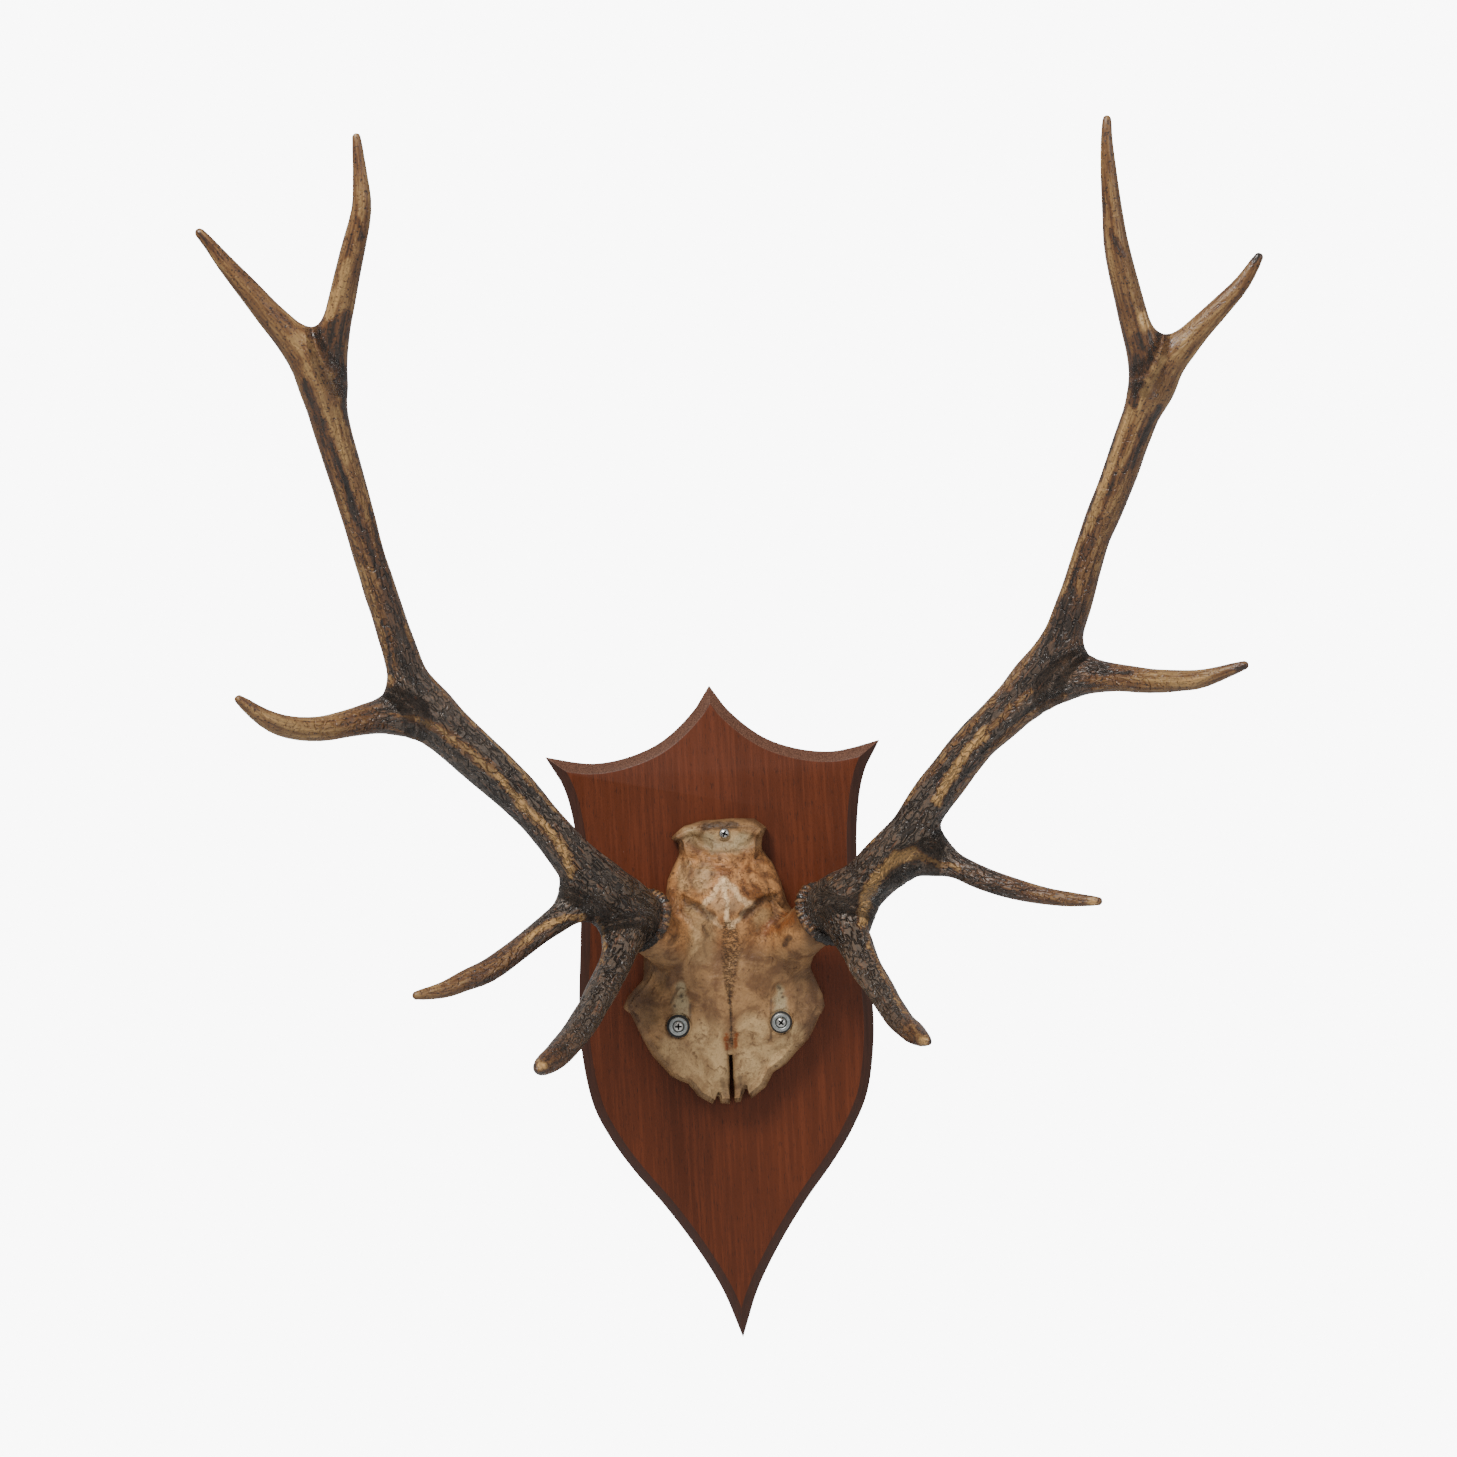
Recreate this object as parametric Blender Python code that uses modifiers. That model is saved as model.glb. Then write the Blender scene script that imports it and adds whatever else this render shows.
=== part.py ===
"""Red deer antlers on their sawn skull plate, screwed to a wooden wall shield.

Metres, +Z up. The shield's flat back lies in the plane Y = 0 and the antlers reach out towards -Y.
The origin is on the back, on the shield's line of symmetry, half way between its two points.
"""

import math

import bmesh
import bpy
import numpy as np
from mathutils import Matrix, Vector

# Shield
SHIELD_HEIGHT = 0.511
SHIELD_WIDTH = 0.262
SHIELD_THICKNESS = 0.020
CHAMFER = 0.008
ARC_STEPS = 3

# Bone and antler, each drawn in whole millimetres and scaled by its own real length
SKULL_LENGTH = 0.220
DRAWN_SKULL_LENGTH = 220
ANTLER_REACH = 0.640
DRAWN_ANTLER_REACH = 640
SKULL_HEIGHT_ABOVE_SHIELD = 0.045
DRAWN_SKULL_HEIGHT = 45
DRAWN_SHIELD_FRONT = 20
SKULL_ASIDE = -0.002
GAP = 0.0003

# Round-head screws
SCREW_HEAD_DIAMETER = 0.0085
SCREW_HEAD_HEIGHT = 0.0032
SCREW_SHANK_DIAMETER = 0.0040
SCREW_BITE = 0.012
CROSS_WIDTH = 0.0012
CROSS_LENGTH = 0.0052
CROSS_DEPTH = 0.0016
DOME_STEPS = 6
DOME_LOWEST_ANGLE = 0.15
TOP_SCREW_TURN = 0.4
TOP_SCREW_PLACE = (8, 140)
LEFT_SCREW_PLACE = (-35, -6)
RIGHT_SCREW_PLACE = (44, -7)
TOP_SCREW_SEAT = 0.0445
LOW_SCREW_SEAT = 0.0500
SCREW_SPOT_DIAMETER = 0.0190

# Washers under the two lower screws
CUP_DIAMETER = 0.0146
CUP_HEIGHT = 0.0026
CUP_WALL = 0.0007
RING_THICKNESS = 0.0022
LEFT_RING_DIAMETER = 0.0182
RIGHT_RING_DIAMETER = 0.0172
ROUND_SIDES = 18

# Surface of the bone
VOXEL = 0.0030
BONE_TRIANGLES = 6800
TUBE_SIDES = 3
TIP_STEPS = ((0.6, 0.8), (0.95, 0.3))
WEB = 0.022
SKULL_WEB = 0.012
SAWN_EDGE = 0.004
DRAWN_SLAB = (10, 58)
PATH_STEPS = 2
SETTLING_STEPS = 4
SETTLING_NUDGE = VOXEL / 10
LEAST_STEEPNESS = 0.25
FAR = 1e9
PEARLS = 17
PEARL_HEIGHT = 0.0013
CORONET_RADIUS = 0.0225
CORONET_TUBE = 0.0048

# Half of the shield's outline in millimetres from its line of symmetry, clockwise from the top point.
# Each list is one smooth stretch, and the stretches meet in sharp corners.
DRAWN_SHIELD = (511, 262)
TOP_ARC = [(0, 255.5), (11, 239), (28, 222), (46, 210), (69, 202), (92, 199), (112, 201.5), (131, 206)]
SIDE_CURVE = [(131, 206), (120, 187), (113.5, 166), (109.5, 135), (108.5, 100), (111, 60), (114.5, 12),
              (114.5, -25), (108, -66), (95, -95), (78, -121), (56, -149), (36, -178), (19, -207),
              (9.5, -228), (0, -255.5)]

# The sawn edge of the skull plate, clockwise from the left wing of the crest, with the nasal slit
SKULL_EDGE = [(-34, 138), (-23, 147), (-10, 150), (13, 151), (32, 150), (41, 142), (37, 136),
              (37, 126), (45, 115), (50, 100), (54, 84), (66, 66), (72, 48), (67, 36), (77, 11),
              (78, 3), (72, -10), (65, -23), (47, -41), (36, -47), (30, -58), (18, -67), (15, -56),
              (10, -69), (4, -69), (5, -40), (4, -20), (3, -40), (1, -70), (-6, -69), (-8, -62),
              (-12, -70), (-23, -63), (-30, -53), (-45, -48), (-57, -31), (-64, -14), (-72, 4),
              (-78, 9), (-73, 18), (-60, 30), (-60, 46), (-52, 60), (-44, 75), (-41, 87), (-38, 106),
              (-29, 125), (-29, 134)]

# Swellings of the skull: centre across, out from the shield's back and up, then the three half axes
SKULL_SWELLINGS = [
    (5, 18, 90, 48, 46, 49),
    (6, 18, 18, 74, 38, 88),
    (4, 18, -40, 40, 26, 46),
    (6, 20, 142, 44, 23, 16),
    (-52, 20, 8, 34, 25, 40),
    (58, 20, 8, 34, 25, 40),
    (-35, 38, -6, 16, 12, 16),
    (44, 38, -7, 16, 12, 16),
]

# Each branch of an antler: across, out, up and the radius there. The beam starts with its pedicle,
# and the last point is the very tip.
LEFT_CORONET = (-59, 80, 78)
LEFT_BRANCHES = {
    "beam": [(-27, 36, 46, 19), (-45, 62, 63, 18.4), (-59, 80, 78, 20.2), (-72, 104, 93, 21),
             (-88, 128, 109, 20.2), (-105, 148, 132, 16.3), (-123, 162, 157, 14.4),
             (-140, 172, 179, 15.4), (-157, 182, 198, 16.8), (-175, 192, 217, 17.5),
             (-196, 202, 239, 18.4), (-211, 210, 263, 15.7), (-218, 219, 290, 12.8),
             (-233, 244, 354, 11.3), (-241, 261, 396, 12), (-250, 277, 438, 13),
             (-255, 288, 465, 14.2), (-262, 298, 488, 13.2), (-274, 307, 508, 11.4),
             (-287, 315, 524, 9.5), (-299, 322, 540, 7.9), (-313, 328, 558, 6), (-323, 332, 572, 4.3),
             (-331, 334, 582, 3.2)],
    "inner_top": [(-250, 291, 480, 8), (-245, 303, 502, 10.8), (-239, 312, 521, 9.7),
                  (-226, 329, 560, 8.6), (-217, 338, 588, 6.9), (-216, 343, 610, 5.2),
                  (-217, 346, 640, 3)],
    "trez": [(-208, 206, 244, 11), (-223, 214, 243, 13.4), (-238, 224, 242, 11.9),
             (-254, 238, 239, 10), (-274, 256, 236, 8.8), (-293, 274, 238, 8.1), (-308, 288, 245, 6.6),
             (-326, 300, 261, 3.2)],
    "bez": [(-90, 126, 102, 11), (-106, 138, 95, 11.5), (-126, 155, 82, 9.2), (-148, 173, 67, 8.4),
            (-169, 190, 54, 8.7), (-186, 203, 48, 7.5), (-201, 214, 43, 5.8), (-221, 227, 41, 3.2)],
    "brow": [(-66, 100, 82, 12), (-72, 122, 65, 13.5), (-79, 147, 48, 11.7), (-88, 172, 33, 11),
             (-98, 201, 17, 10.9), (-109, 230, 4, 10.3), (-118, 258, -4, 9.3), (-126, 282, -8, 7.2),
             (-129, 301, -9, 3.4)],
}
RIGHT_CORONET = (82, 80, 76)
RIGHT_BRANCHES = {
    "beam": [(46, 36, 43, 19), (65, 62, 62, 18.4), (82, 80, 76, 20.2), (97, 104, 89, 19.2),
             (114, 126, 104, 17.3), (135, 146, 125, 15.9), (151, 160, 146, 15.4),
             (165, 170, 166, 15.6), (180, 180, 184, 15.4), (195, 189, 202, 15.2),
             (211, 198, 216, 15.7), (235, 207, 239, 16.4), (254, 217, 265, 15), (265, 226, 290, 12.9),
             (280, 246, 336, 11.4), (288, 255, 356, 12.1), (299, 266, 382, 12.3),
             (309, 277, 409, 12.7), (320, 288, 435, 12.9), (331, 298, 455, 12.2),
             (343, 306, 468, 10.5), (356, 312, 481, 8.6), (370, 318, 494, 7.3), (385, 324, 509, 5.6),
             (398, 330, 528, 3.2)],
    "inner_top": [(323, 291, 446, 8), (317, 302, 469, 11), (311, 311, 489, 10.4), (300, 329, 532, 8.9),
                  (297, 336, 555, 7.4), (295, 342, 582, 5.9), (294, 347, 607, 4.2), (295, 348, 625, 3)],
    "trez": [(243, 206, 240, 11), (260, 214, 244, 14.4), (278, 224, 245, 12.6), (295, 237, 243, 10),
             (316, 254, 239, 8.9), (335, 271, 238, 7.5), (351, 285, 239, 6.2), (379, 301, 247, 3.2)],
    "bez": [(134, 140, 118, 11), (149, 150, 122, 12.6), (165, 158, 118, 11.3), (180, 167, 110, 9),
            (197, 178, 101, 8.5), (218, 192, 93, 7.7), (238, 205, 88, 6.3), (256, 216, 85, 5.2),
            (277, 227, 83, 3.1)],
    "brow": [(90, 100, 87, 12), (96, 122, 69, 14.2), (103, 145, 52, 12.1), (109, 165, 38, 11.3),
             (116, 188, 25, 10.4), (123, 212, 12, 9.5), (130, 238, 3, 8.7), (137, 266, -2, 7.3),
             (143, 301, -4, 3.2)],
    "crest": [(103, 110, 72, 6), (107, 120, 85, 6), (117, 131, 100, 6), (131, 141, 113, 6),
              (148, 152, 120, 6), (166, 161, 117, 5)],
}

# Hollows under the rims of the eye sockets, drawn like the swellings
ORBIT_HOLLOWS = [
    (-84, 14, 6, 24, 19, 24),
    (86, 14, 8, 24, 19, 24),
]


def clear_scene():
    for old in list(bpy.data.objects):
        bpy.data.objects.remove(old)


def collection(name):
    made = bpy.data.collections.new(name)
    bpy.context.scene.collection.children.link(made)
    return made


def material(name, colour, roughness, metallic=0.0):
    made = bpy.data.materials.new(name)
    made.use_nodes = True
    shader = made.node_tree.nodes["Principled BSDF"]
    shader.inputs["Base Color"].default_value = (*colour, 1.0)
    shader.inputs["Roughness"].default_value = roughness
    shader.inputs["Metallic"].default_value = metallic
    return made


def place(name, mesh, group, look=None, at=(0.0, 0.0, 0.0)):
    made = bpy.data.objects.new(name, mesh)
    made.location = at
    group.objects.link(made)
    if look is not None:
        mesh.materials.append(look)
    return made


def smooth_path(points, steps):
    """The points with a smooth curve read between them, steps to each stretch."""
    points = np.asarray(points, float)
    ends = np.vstack([2 * points[0] - points[1], points, 2 * points[-1] - points[-2]])
    path = []
    for before, start, end, after in zip(ends, ends[1:], ends[2:], ends[3:]):
        for t in np.arange(steps) / steps:
            bend = 2 * before - 5 * start + 4 * end - after
            twist = 3 * start - 3 * end + after - before
            path.append(start + 0.5 * t * ((end - before) + t * (bend + t * twist)))
    path.append(points[-1])
    return np.array(path)


def straight_ended(points):
    """A smooth stretch whose ends are straight, so that the chamfer meets cleanly at the corners."""
    path = smooth_path(points, ARC_STEPS)
    return np.vstack([path[:1], path[ARC_STEPS:-ARC_STEPS], path[-1:]])


def shield_outline():
    """Half outline sampled along its two curves, then the same mirrored."""
    half = np.vstack([straight_ended(TOP_ARC)[:-1], straight_ended(SIDE_CURVE)])
    half = half * (SHIELD_WIDTH / DRAWN_SHIELD[1], SHIELD_HEIGHT / DRAWN_SHIELD[0])
    other = half[-2:0:-1] * (-1, 1)
    return np.vstack([half, other])


def make_shield(group, look):
    """The outline drawn out to where the chamfer starts, and its front face inset by the chamfer."""
    shape = bmesh.new()
    back = [shape.verts.new((x, 0.0, z)) for x, z in shield_outline()]
    face = shape.faces.new(back)
    moved = bmesh.ops.extrude_face_region(shape, geom=[face])["geom"]
    front = [item for item in moved if isinstance(item, bmesh.types.BMFace)]
    corners = [item for item in moved if isinstance(item, bmesh.types.BMVert)]
    bmesh.ops.translate(shape, verts=corners, vec=(0.0, CHAMFER - SHIELD_THICKNESS, 0.0))
    bmesh.ops.inset_region(shape, faces=front, thickness=CHAMFER, use_even_offset=True)
    rim = {corner for item in front for corner in item.verts}
    bmesh.ops.translate(shape, verts=list(rim), vec=(0.0, -CHAMFER, 0.0))
    bmesh.ops.recalc_face_normals(shape, faces=shape.faces)
    mesh = bpy.data.meshes.new("shield_plaque")
    shape.to_mesh(mesh)
    shape.free()
    return place("shield_plaque", mesh, group, look)


def bone_place(point):
    """A drawn point of the skull at its real place: across, out from the back, up."""
    across, out, up = point
    unit = SKULL_LENGTH / DRAWN_SKULL_LENGTH
    lift = SKULL_HEIGHT_ABOVE_SHIELD / DRAWN_SKULL_HEIGHT
    height = (out - DRAWN_SHIELD_FRONT) * lift
    return np.array((SKULL_ASIDE + across * unit, -SHIELD_THICKNESS - height, up * unit))


def antler_rods(branches, coronet):
    """Each branch as points and radii at real size, hung from where its coronet sits on the skull."""
    unit = ANTLER_REACH / DRAWN_ANTLER_REACH
    root = bone_place(coronet)
    rods = []
    for points in branches.values():
        path = smooth_path(points, PATH_STEPS)
        last = path[-1, :3] - path[-2, :3]
        path[-1, :3] -= last * (path[-1, 3] / np.linalg.norm(last))
        steps = (path[:, :3] - coronet) * unit * (1, -1, 1)
        rods.append((root + steps, path[:, 3] * unit))
    return rods


def round_ended(rod):
    """The rod with two more steps that round off its tip."""
    path, radii = rod
    way = (path[-1] - path[-2]) / np.linalg.norm(path[-1] - path[-2])
    tips = [path[-1] + way * radii[-1] * onward for onward, _ in TIP_STEPS]
    narrower = [radii[-1] * share for _, share in TIP_STEPS]
    return np.vstack([path, tips]), np.append(radii, narrower)


def pedicle_axis(coronet, branches):
    start, end = branches["beam"][1][:3], branches["beam"][3][:3]
    axis = (np.array(end, float) - start) * (1, -1, 1)
    return bone_place(coronet), axis / np.linalg.norm(axis)


def rod_distance(points, rod):
    """Distance from each point to a chain of tapered rods."""
    path, radii = rod
    nearest = np.full(len(points), FAR)
    for a, b, ra, rb in zip(path, path[1:], radii, radii[1:]):
        along = b - a
        share = np.clip((points - a) @ along / (along @ along), 0.0, 1.0)
        away = np.linalg.norm(points - a - share[:, None] * along, axis=1)
        nearest = np.minimum(nearest, away - ra - share * (rb - ra))
    return nearest


def soft_least(first, second, width):
    """The lesser of two distances, with a fillet of about this width where they are alike."""
    overlap = np.maximum(width - np.abs(first - second), 0.0) / width
    return np.minimum(first, second) - overlap * overlap * width / 4


def edge_distance(points, outline):
    """Signed distance from each point to the sawn edge, seen from the front: negative inside it."""
    flat = points[:, [0, 2]]
    nearest = np.full(len(flat), FAR)
    inside = np.zeros(len(flat), bool)
    for a, b in zip(outline, np.roll(outline, -1, axis=0)):
        along = b - a
        share = np.clip((flat - a) @ along / (along @ along), 0.0, 1.0)
        nearest = np.minimum(nearest, np.linalg.norm(flat - a - share[:, None] * along, axis=1))
        crosses = (a[1] > flat[:, 1]) != (b[1] > flat[:, 1])
        rise = b[1] - a[1] if b[1] != a[1] else 1.0
        inside ^= crosses & (flat[:, 0] < a[0] + (flat[:, 1] - a[1]) * along[0] / rise)
    return np.where(inside, -nearest, nearest)


def skull_outline():
    return np.array([bone_place((x, 0, z))[[0, 2]] for x, z in SKULL_EDGE])


def swelling_distance(points, swelling):
    centre = bone_place(swelling[:3])
    wide, deep, tall = swelling[3:]
    corner = bone_place((wide, DRAWN_SHIELD_FRONT + deep, tall))
    axes = np.abs(corner - bone_place((0, DRAWN_SHIELD_FRONT, 0)))
    return (np.linalg.norm((points - centre) / axes, axis=1) - 1.0) * axes.min()


def skull_distance(points, outline):
    body = np.full(len(points), FAR)
    for swelling in SKULL_SWELLINGS:
        body = soft_least(body, swelling_distance(points, swelling), SKULL_WEB)
    solid = soft_least(-body, -edge_distance(points, outline), SAWN_EDGE)
    for hollow in ORBIT_HOLLOWS:
        solid = soft_least(solid, swelling_distance(points, hollow), SAWN_EDGE)
    return -solid


def coronet_distance(points, centre, axis):
    """The ring of pearls round the foot of an antler."""
    from_centre = points - centre
    height = from_centre @ axis
    flat = from_centre - height[:, None] * axis
    side = np.cross(axis, (0.0, 0.0, 1.0))
    side /= np.linalg.norm(side)
    turn = np.arctan2(flat @ np.cross(axis, side), flat @ side)
    unit = ANTLER_REACH / DRAWN_ANTLER_REACH
    beyond = np.linalg.norm(flat, axis=1) - CORONET_RADIUS * unit
    return np.hypot(beyond, height) - unit * (CORONET_TUBE + PEARL_HEIGHT * np.cos(PEARLS * turn))


def bone_distance(points, rods, coronets, outline):
    total = np.full(len(points), FAR)
    for rod in rods:
        total = soft_least(total, rod_distance(points, rod), WEB)
    total = soft_least(total, skull_distance(points, outline), SKULL_WEB)
    for centre, axis in coronets:
        total = soft_least(total, coronet_distance(points, centre, axis), CORONET_TUBE)
    return total


def settle(mesh, distance):
    """Moves every vertex of the mesh on to the surface where the distance is nothing."""
    points = np.empty(len(mesh.vertices) * 3)
    mesh.vertices.foreach_get("co", points)
    points = points.reshape(-1, 3)
    for _ in range(SETTLING_STEPS):
        away = distance(points)
        slope = np.empty_like(points)
        for axis in range(3):
            step = np.zeros(3)
            step[axis] = SETTLING_NUDGE
            change = distance(points + step) - distance(points - step)
            slope[:, axis] = change / (2 * SETTLING_NUDGE)
        steepness = np.maximum((slope * slope).sum(axis=1), LEAST_STEEPNESS)
        move = slope * (away / steepness)[:, None]
        length = np.linalg.norm(move, axis=1)
        points -= move * (np.minimum(length, VOXEL) / np.maximum(length, 1e-9))[:, None]
    mesh.vertices.foreach_set("co", points.ravel())
    mesh.update()


def mesh_of(obj):
    """The object's evaluated mesh, at its place."""
    bpy.context.view_layer.update()
    graph = bpy.context.evaluated_depsgraph_get()
    mesh = bpy.data.meshes.new_from_object(obj.evaluated_get(graph))
    mesh.transform(obj.matrix_world)
    return mesh


def rod_mesh(rod):
    """A curve whose bevel follows the radii, made a mesh."""
    path, radii = rod
    curve = bpy.data.curves.new("rod", "CURVE")
    curve.dimensions = "3D"
    curve.bevel_depth = 1.0
    curve.bevel_resolution = TUBE_SIDES
    curve.use_fill_caps = True
    spline = curve.splines.new("POLY")
    spline.points.add(len(path) - 1)
    for point, spot, radius in zip(spline.points, path, radii):
        point.co = (*spot, 1.0)
        point.radius = radius
    obj = bpy.data.objects.new("rod", curve)
    bpy.context.scene.collection.objects.link(obj)
    mesh = mesh_of(obj)
    bpy.data.objects.remove(obj)
    return mesh


def slab_mesh(outline, front, back):
    """The sawn outline drawn out from the shield."""
    shape = bmesh.new()
    face = shape.faces.new([shape.verts.new((x, back, z)) for x, z in outline])
    moved = bmesh.ops.extrude_face_region(shape, geom=[face])["geom"]
    corners = [item for item in moved if isinstance(item, bmesh.types.BMVert)]
    bmesh.ops.translate(shape, verts=corners, vec=(0.0, front - back, 0.0))
    bmesh.ops.recalc_face_normals(shape, faces=shape.faces)
    mesh = bpy.data.meshes.new("slab")
    shape.to_mesh(mesh)
    shape.free()
    return mesh


def ring_mesh(centre, axis, radius, tube):
    shape = bmesh.new()
    turn = Vector((0.0, 0.0, 1.0)).rotation_difference(Vector(axis)).to_matrix().to_4x4()
    bmesh.ops.create_cone(shape, cap_ends=True, segments=ROUND_SIDES, radius1=radius, radius2=radius,
                          depth=2 * tube, matrix=Matrix.Translation(Vector(centre)) @ turn)
    mesh = bpy.data.meshes.new("ring")
    shape.to_mesh(mesh)
    shape.free()
    return mesh


def joined(meshes):
    shape = bmesh.new()
    for mesh in meshes:
        shape.from_mesh(mesh)
    bmesh.ops.remove_doubles(shape, verts=shape.verts, dist=1e-6)
    made = bpy.data.meshes.new("joined")
    shape.to_mesh(made)
    shape.free()
    return made


def apply_modifier(mesh, kind, **values):
    """The mesh as one modifier leaves it."""
    obj = bpy.data.objects.new("work", mesh)
    bpy.context.scene.collection.objects.link(obj)
    modifier = obj.modifiers.new("work", kind)
    for name, value in values.items():
        setattr(modifier, name, value)
    made = mesh_of(obj)
    bpy.data.objects.remove(obj)
    return made


def make_bone(group, cutters, look):
    """Skull plate and antlers: one skin settled on the soft union of all their parts, flat behind."""
    rods = antler_rods(LEFT_BRANCHES, LEFT_CORONET) + antler_rods(RIGHT_BRANCHES, RIGHT_CORONET)
    coronets = [pedicle_axis(LEFT_CORONET, LEFT_BRANCHES), pedicle_axis(RIGHT_CORONET, RIGHT_BRANCHES)]
    outline = skull_outline()
    unit = ANTLER_REACH / DRAWN_ANTLER_REACH
    back, front = [bone_place((0, out, 0))[1] for out in DRAWN_SLAB]
    pieces = [rod_mesh(round_ended(rod)) for rod in rods]
    pieces.append(slab_mesh(outline, front, back))
    for centre, axis in coronets:
        pieces.append(ring_mesh(centre, axis, (CORONET_RADIUS + CORONET_TUBE) * unit, CORONET_TUBE * unit))
    skin = apply_modifier(joined(pieces), "REMESH", mode="VOXEL", voxel_size=VOXEL)
    settle(skin, lambda points: bone_distance(points, rods, coronets, outline))
    share = BONE_TRIANGLES / (2 * len(skin.polygons))
    skin = apply_modifier(skin, "DECIMATE", ratio=share)
    bone = place("skull_and_antlers", skin, group, look)
    depth = SCREW_SHANK_DIAMETER + 2 * GAP
    cut_off_back(bone, cutters)
    for spot, seat, spot_width in screw_seats():
        drill(bone, spot, -SHIELD_THICKNESS + depth, seat, depth, cutters)
        drill(bone, spot, seat, seat - SKULL_HEIGHT_ABOVE_SHIELD, spot_width, cutters)
    return bone


def cutter(name, mesh, cutters):
    made = place(name, mesh, cutters)
    made.hide_render = True
    made.display_type = "WIRE"
    return made


def cut(obj, tool):
    modifier = obj.modifiers.new(tool.name, "BOOLEAN")
    modifier.operation = "DIFFERENCE"
    modifier.solver = "EXACT"
    modifier.object = tool


def cut_off_back(bone, cutters):
    """A block whose front face is the plane that the bone was sawn along, just clear of the shield."""
    shape = bmesh.new()
    depth = SKULL_HEIGHT_ABOVE_SHIELD
    middle = -SHIELD_THICKNESS - GAP + depth / 2
    size = Matrix.Diagonal((SHIELD_HEIGHT, depth, SHIELD_HEIGHT, 1.0))
    bmesh.ops.create_cube(shape, size=1.0, matrix=Matrix.Translation((0.0, middle, 0.0)) @ size)
    mesh = bpy.data.meshes.new("sawn_plane")
    shape.to_mesh(mesh)
    shape.free()
    cut(bone, cutter("sawn_plane", mesh, cutters))


def drill(obj, spot, start, end, width, cutters):
    """A round hole along Y."""
    shape = bmesh.new()
    turn = Matrix.Rotation(math.pi / 2, 4, "X")
    middle = Matrix.Translation((spot[0], (start + end) / 2, spot[1]))
    bmesh.ops.create_cone(shape, cap_ends=True, segments=ROUND_SIDES, radius1=width / 2, radius2=width / 2,
                          depth=abs(start - end), matrix=middle @ turn)
    mesh = bpy.data.meshes.new("hole")
    shape.to_mesh(mesh)
    shape.free()
    cut(obj, cutter("hole", mesh, cutters))


def screw_seats():
    """Where each screw goes in: its place, where the bone's flat spot lies and how wide that is."""
    unit = SKULL_LENGTH / DRAWN_SKULL_LENGTH
    places = [(TOP_SCREW_PLACE, TOP_SCREW_SEAT, SCREW_HEAD_DIAMETER + 2 * GAP),
              (LEFT_SCREW_PLACE, LOW_SCREW_SEAT, SCREW_SPOT_DIAMETER),
              (RIGHT_SCREW_PLACE, LOW_SCREW_SEAT, SCREW_SPOT_DIAMETER)]
    return [((SKULL_ASIDE + x * unit, z * unit), -seat, wide) for (x, z), seat, wide in places]


def turned(name, profile, spot, seat, group, look):
    """A profile of radius and height out from its seat, turned about an axis along Y."""
    mesh = bpy.data.meshes.new(name)
    points = [(radius, 0.0, height) for radius, height in profile]
    mesh.from_pydata(points, [(i, i + 1) for i in range(len(points) - 1)], [])
    made = place(name, mesh, group, look, (spot[0], seat, spot[1]))
    made.rotation_euler = (math.pi / 2, 0.0, 0.0)
    screw = made.modifiers.new("turn", "SCREW")
    screw.steps = ROUND_SIDES
    screw.render_steps = ROUND_SIDES
    screw.use_merge_vertices = True
    screw.merge_threshold = 0.00001
    return made


def make_screw(name, spot, seat, turn, group, cutters, look):
    """Domed head with a cross recess on a plain shank that ends in the shield."""
    head, shank = SCREW_HEAD_DIAMETER / 2, SCREW_SHANK_DIAMETER / 2
    end = seat + SHIELD_THICKNESS - SCREW_BITE
    angles = np.linspace(math.pi / 2, DOME_LOWEST_ANGLE, DOME_STEPS)
    dome = [(head * math.cos(a), SCREW_HEAD_HEIGHT * math.sin(a)) for a in angles]
    dome[0] = (0.0, SCREW_HEAD_HEIGHT)
    profile = dome + [(head, 0.0), (shank, 0.0), (shank, end + shank), (0.0, end)]
    screw = turned(name, profile, spot, seat, group, look)
    for quarter in (0.0, math.pi / 2):
        shape = bmesh.new()
        size = Matrix.Diagonal((CROSS_LENGTH, 2 * CROSS_DEPTH, CROSS_WIDTH, 1.0))
        middle = Matrix.Translation((spot[0], seat - SCREW_HEAD_HEIGHT, spot[1]))
        spin = Matrix.Rotation(turn + quarter, 4, "Y")
        bmesh.ops.create_cube(shape, size=1.0, matrix=middle @ spin @ size)
        mesh = bpy.data.meshes.new("cross")
        shape.to_mesh(mesh)
        shape.free()
        cut(screw, cutter("cross", mesh, cutters))
    return screw


def make_cup_washer(name, spot, seat, group, look):
    """A pressed cup: a rolled rim round a flat floor with a hole for the shank."""
    outer, hole = CUP_DIAMETER / 2, SCREW_SHANK_DIAMETER / 2 + GAP
    floor = SCREW_HEAD_DIAMETER / 2 + 2 * GAP
    profile = [(hole, CUP_WALL), (floor, CUP_WALL), (floor + CUP_WALL, CUP_HEIGHT),
               (outer - CUP_WALL, CUP_HEIGHT), (outer, CUP_WALL), (outer, 0.0), (hole, 0.0), (hole, CUP_WALL)]
    return turned(name, profile, spot, seat, group, look)


def make_rubber_ring(name, spot, seat, diameter, group, look):
    outer, hole = diameter / 2, SCREW_SHANK_DIAMETER / 2 + GAP
    slope = RING_THICKNESS / 4
    profile = [(hole, RING_THICKNESS), (outer - slope, RING_THICKNESS), (outer, RING_THICKNESS - slope),
               (outer, 0.0), (hole, 0.0), (hole, RING_THICKNESS)]
    return turned(name, profile, spot, seat, group, look)


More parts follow.
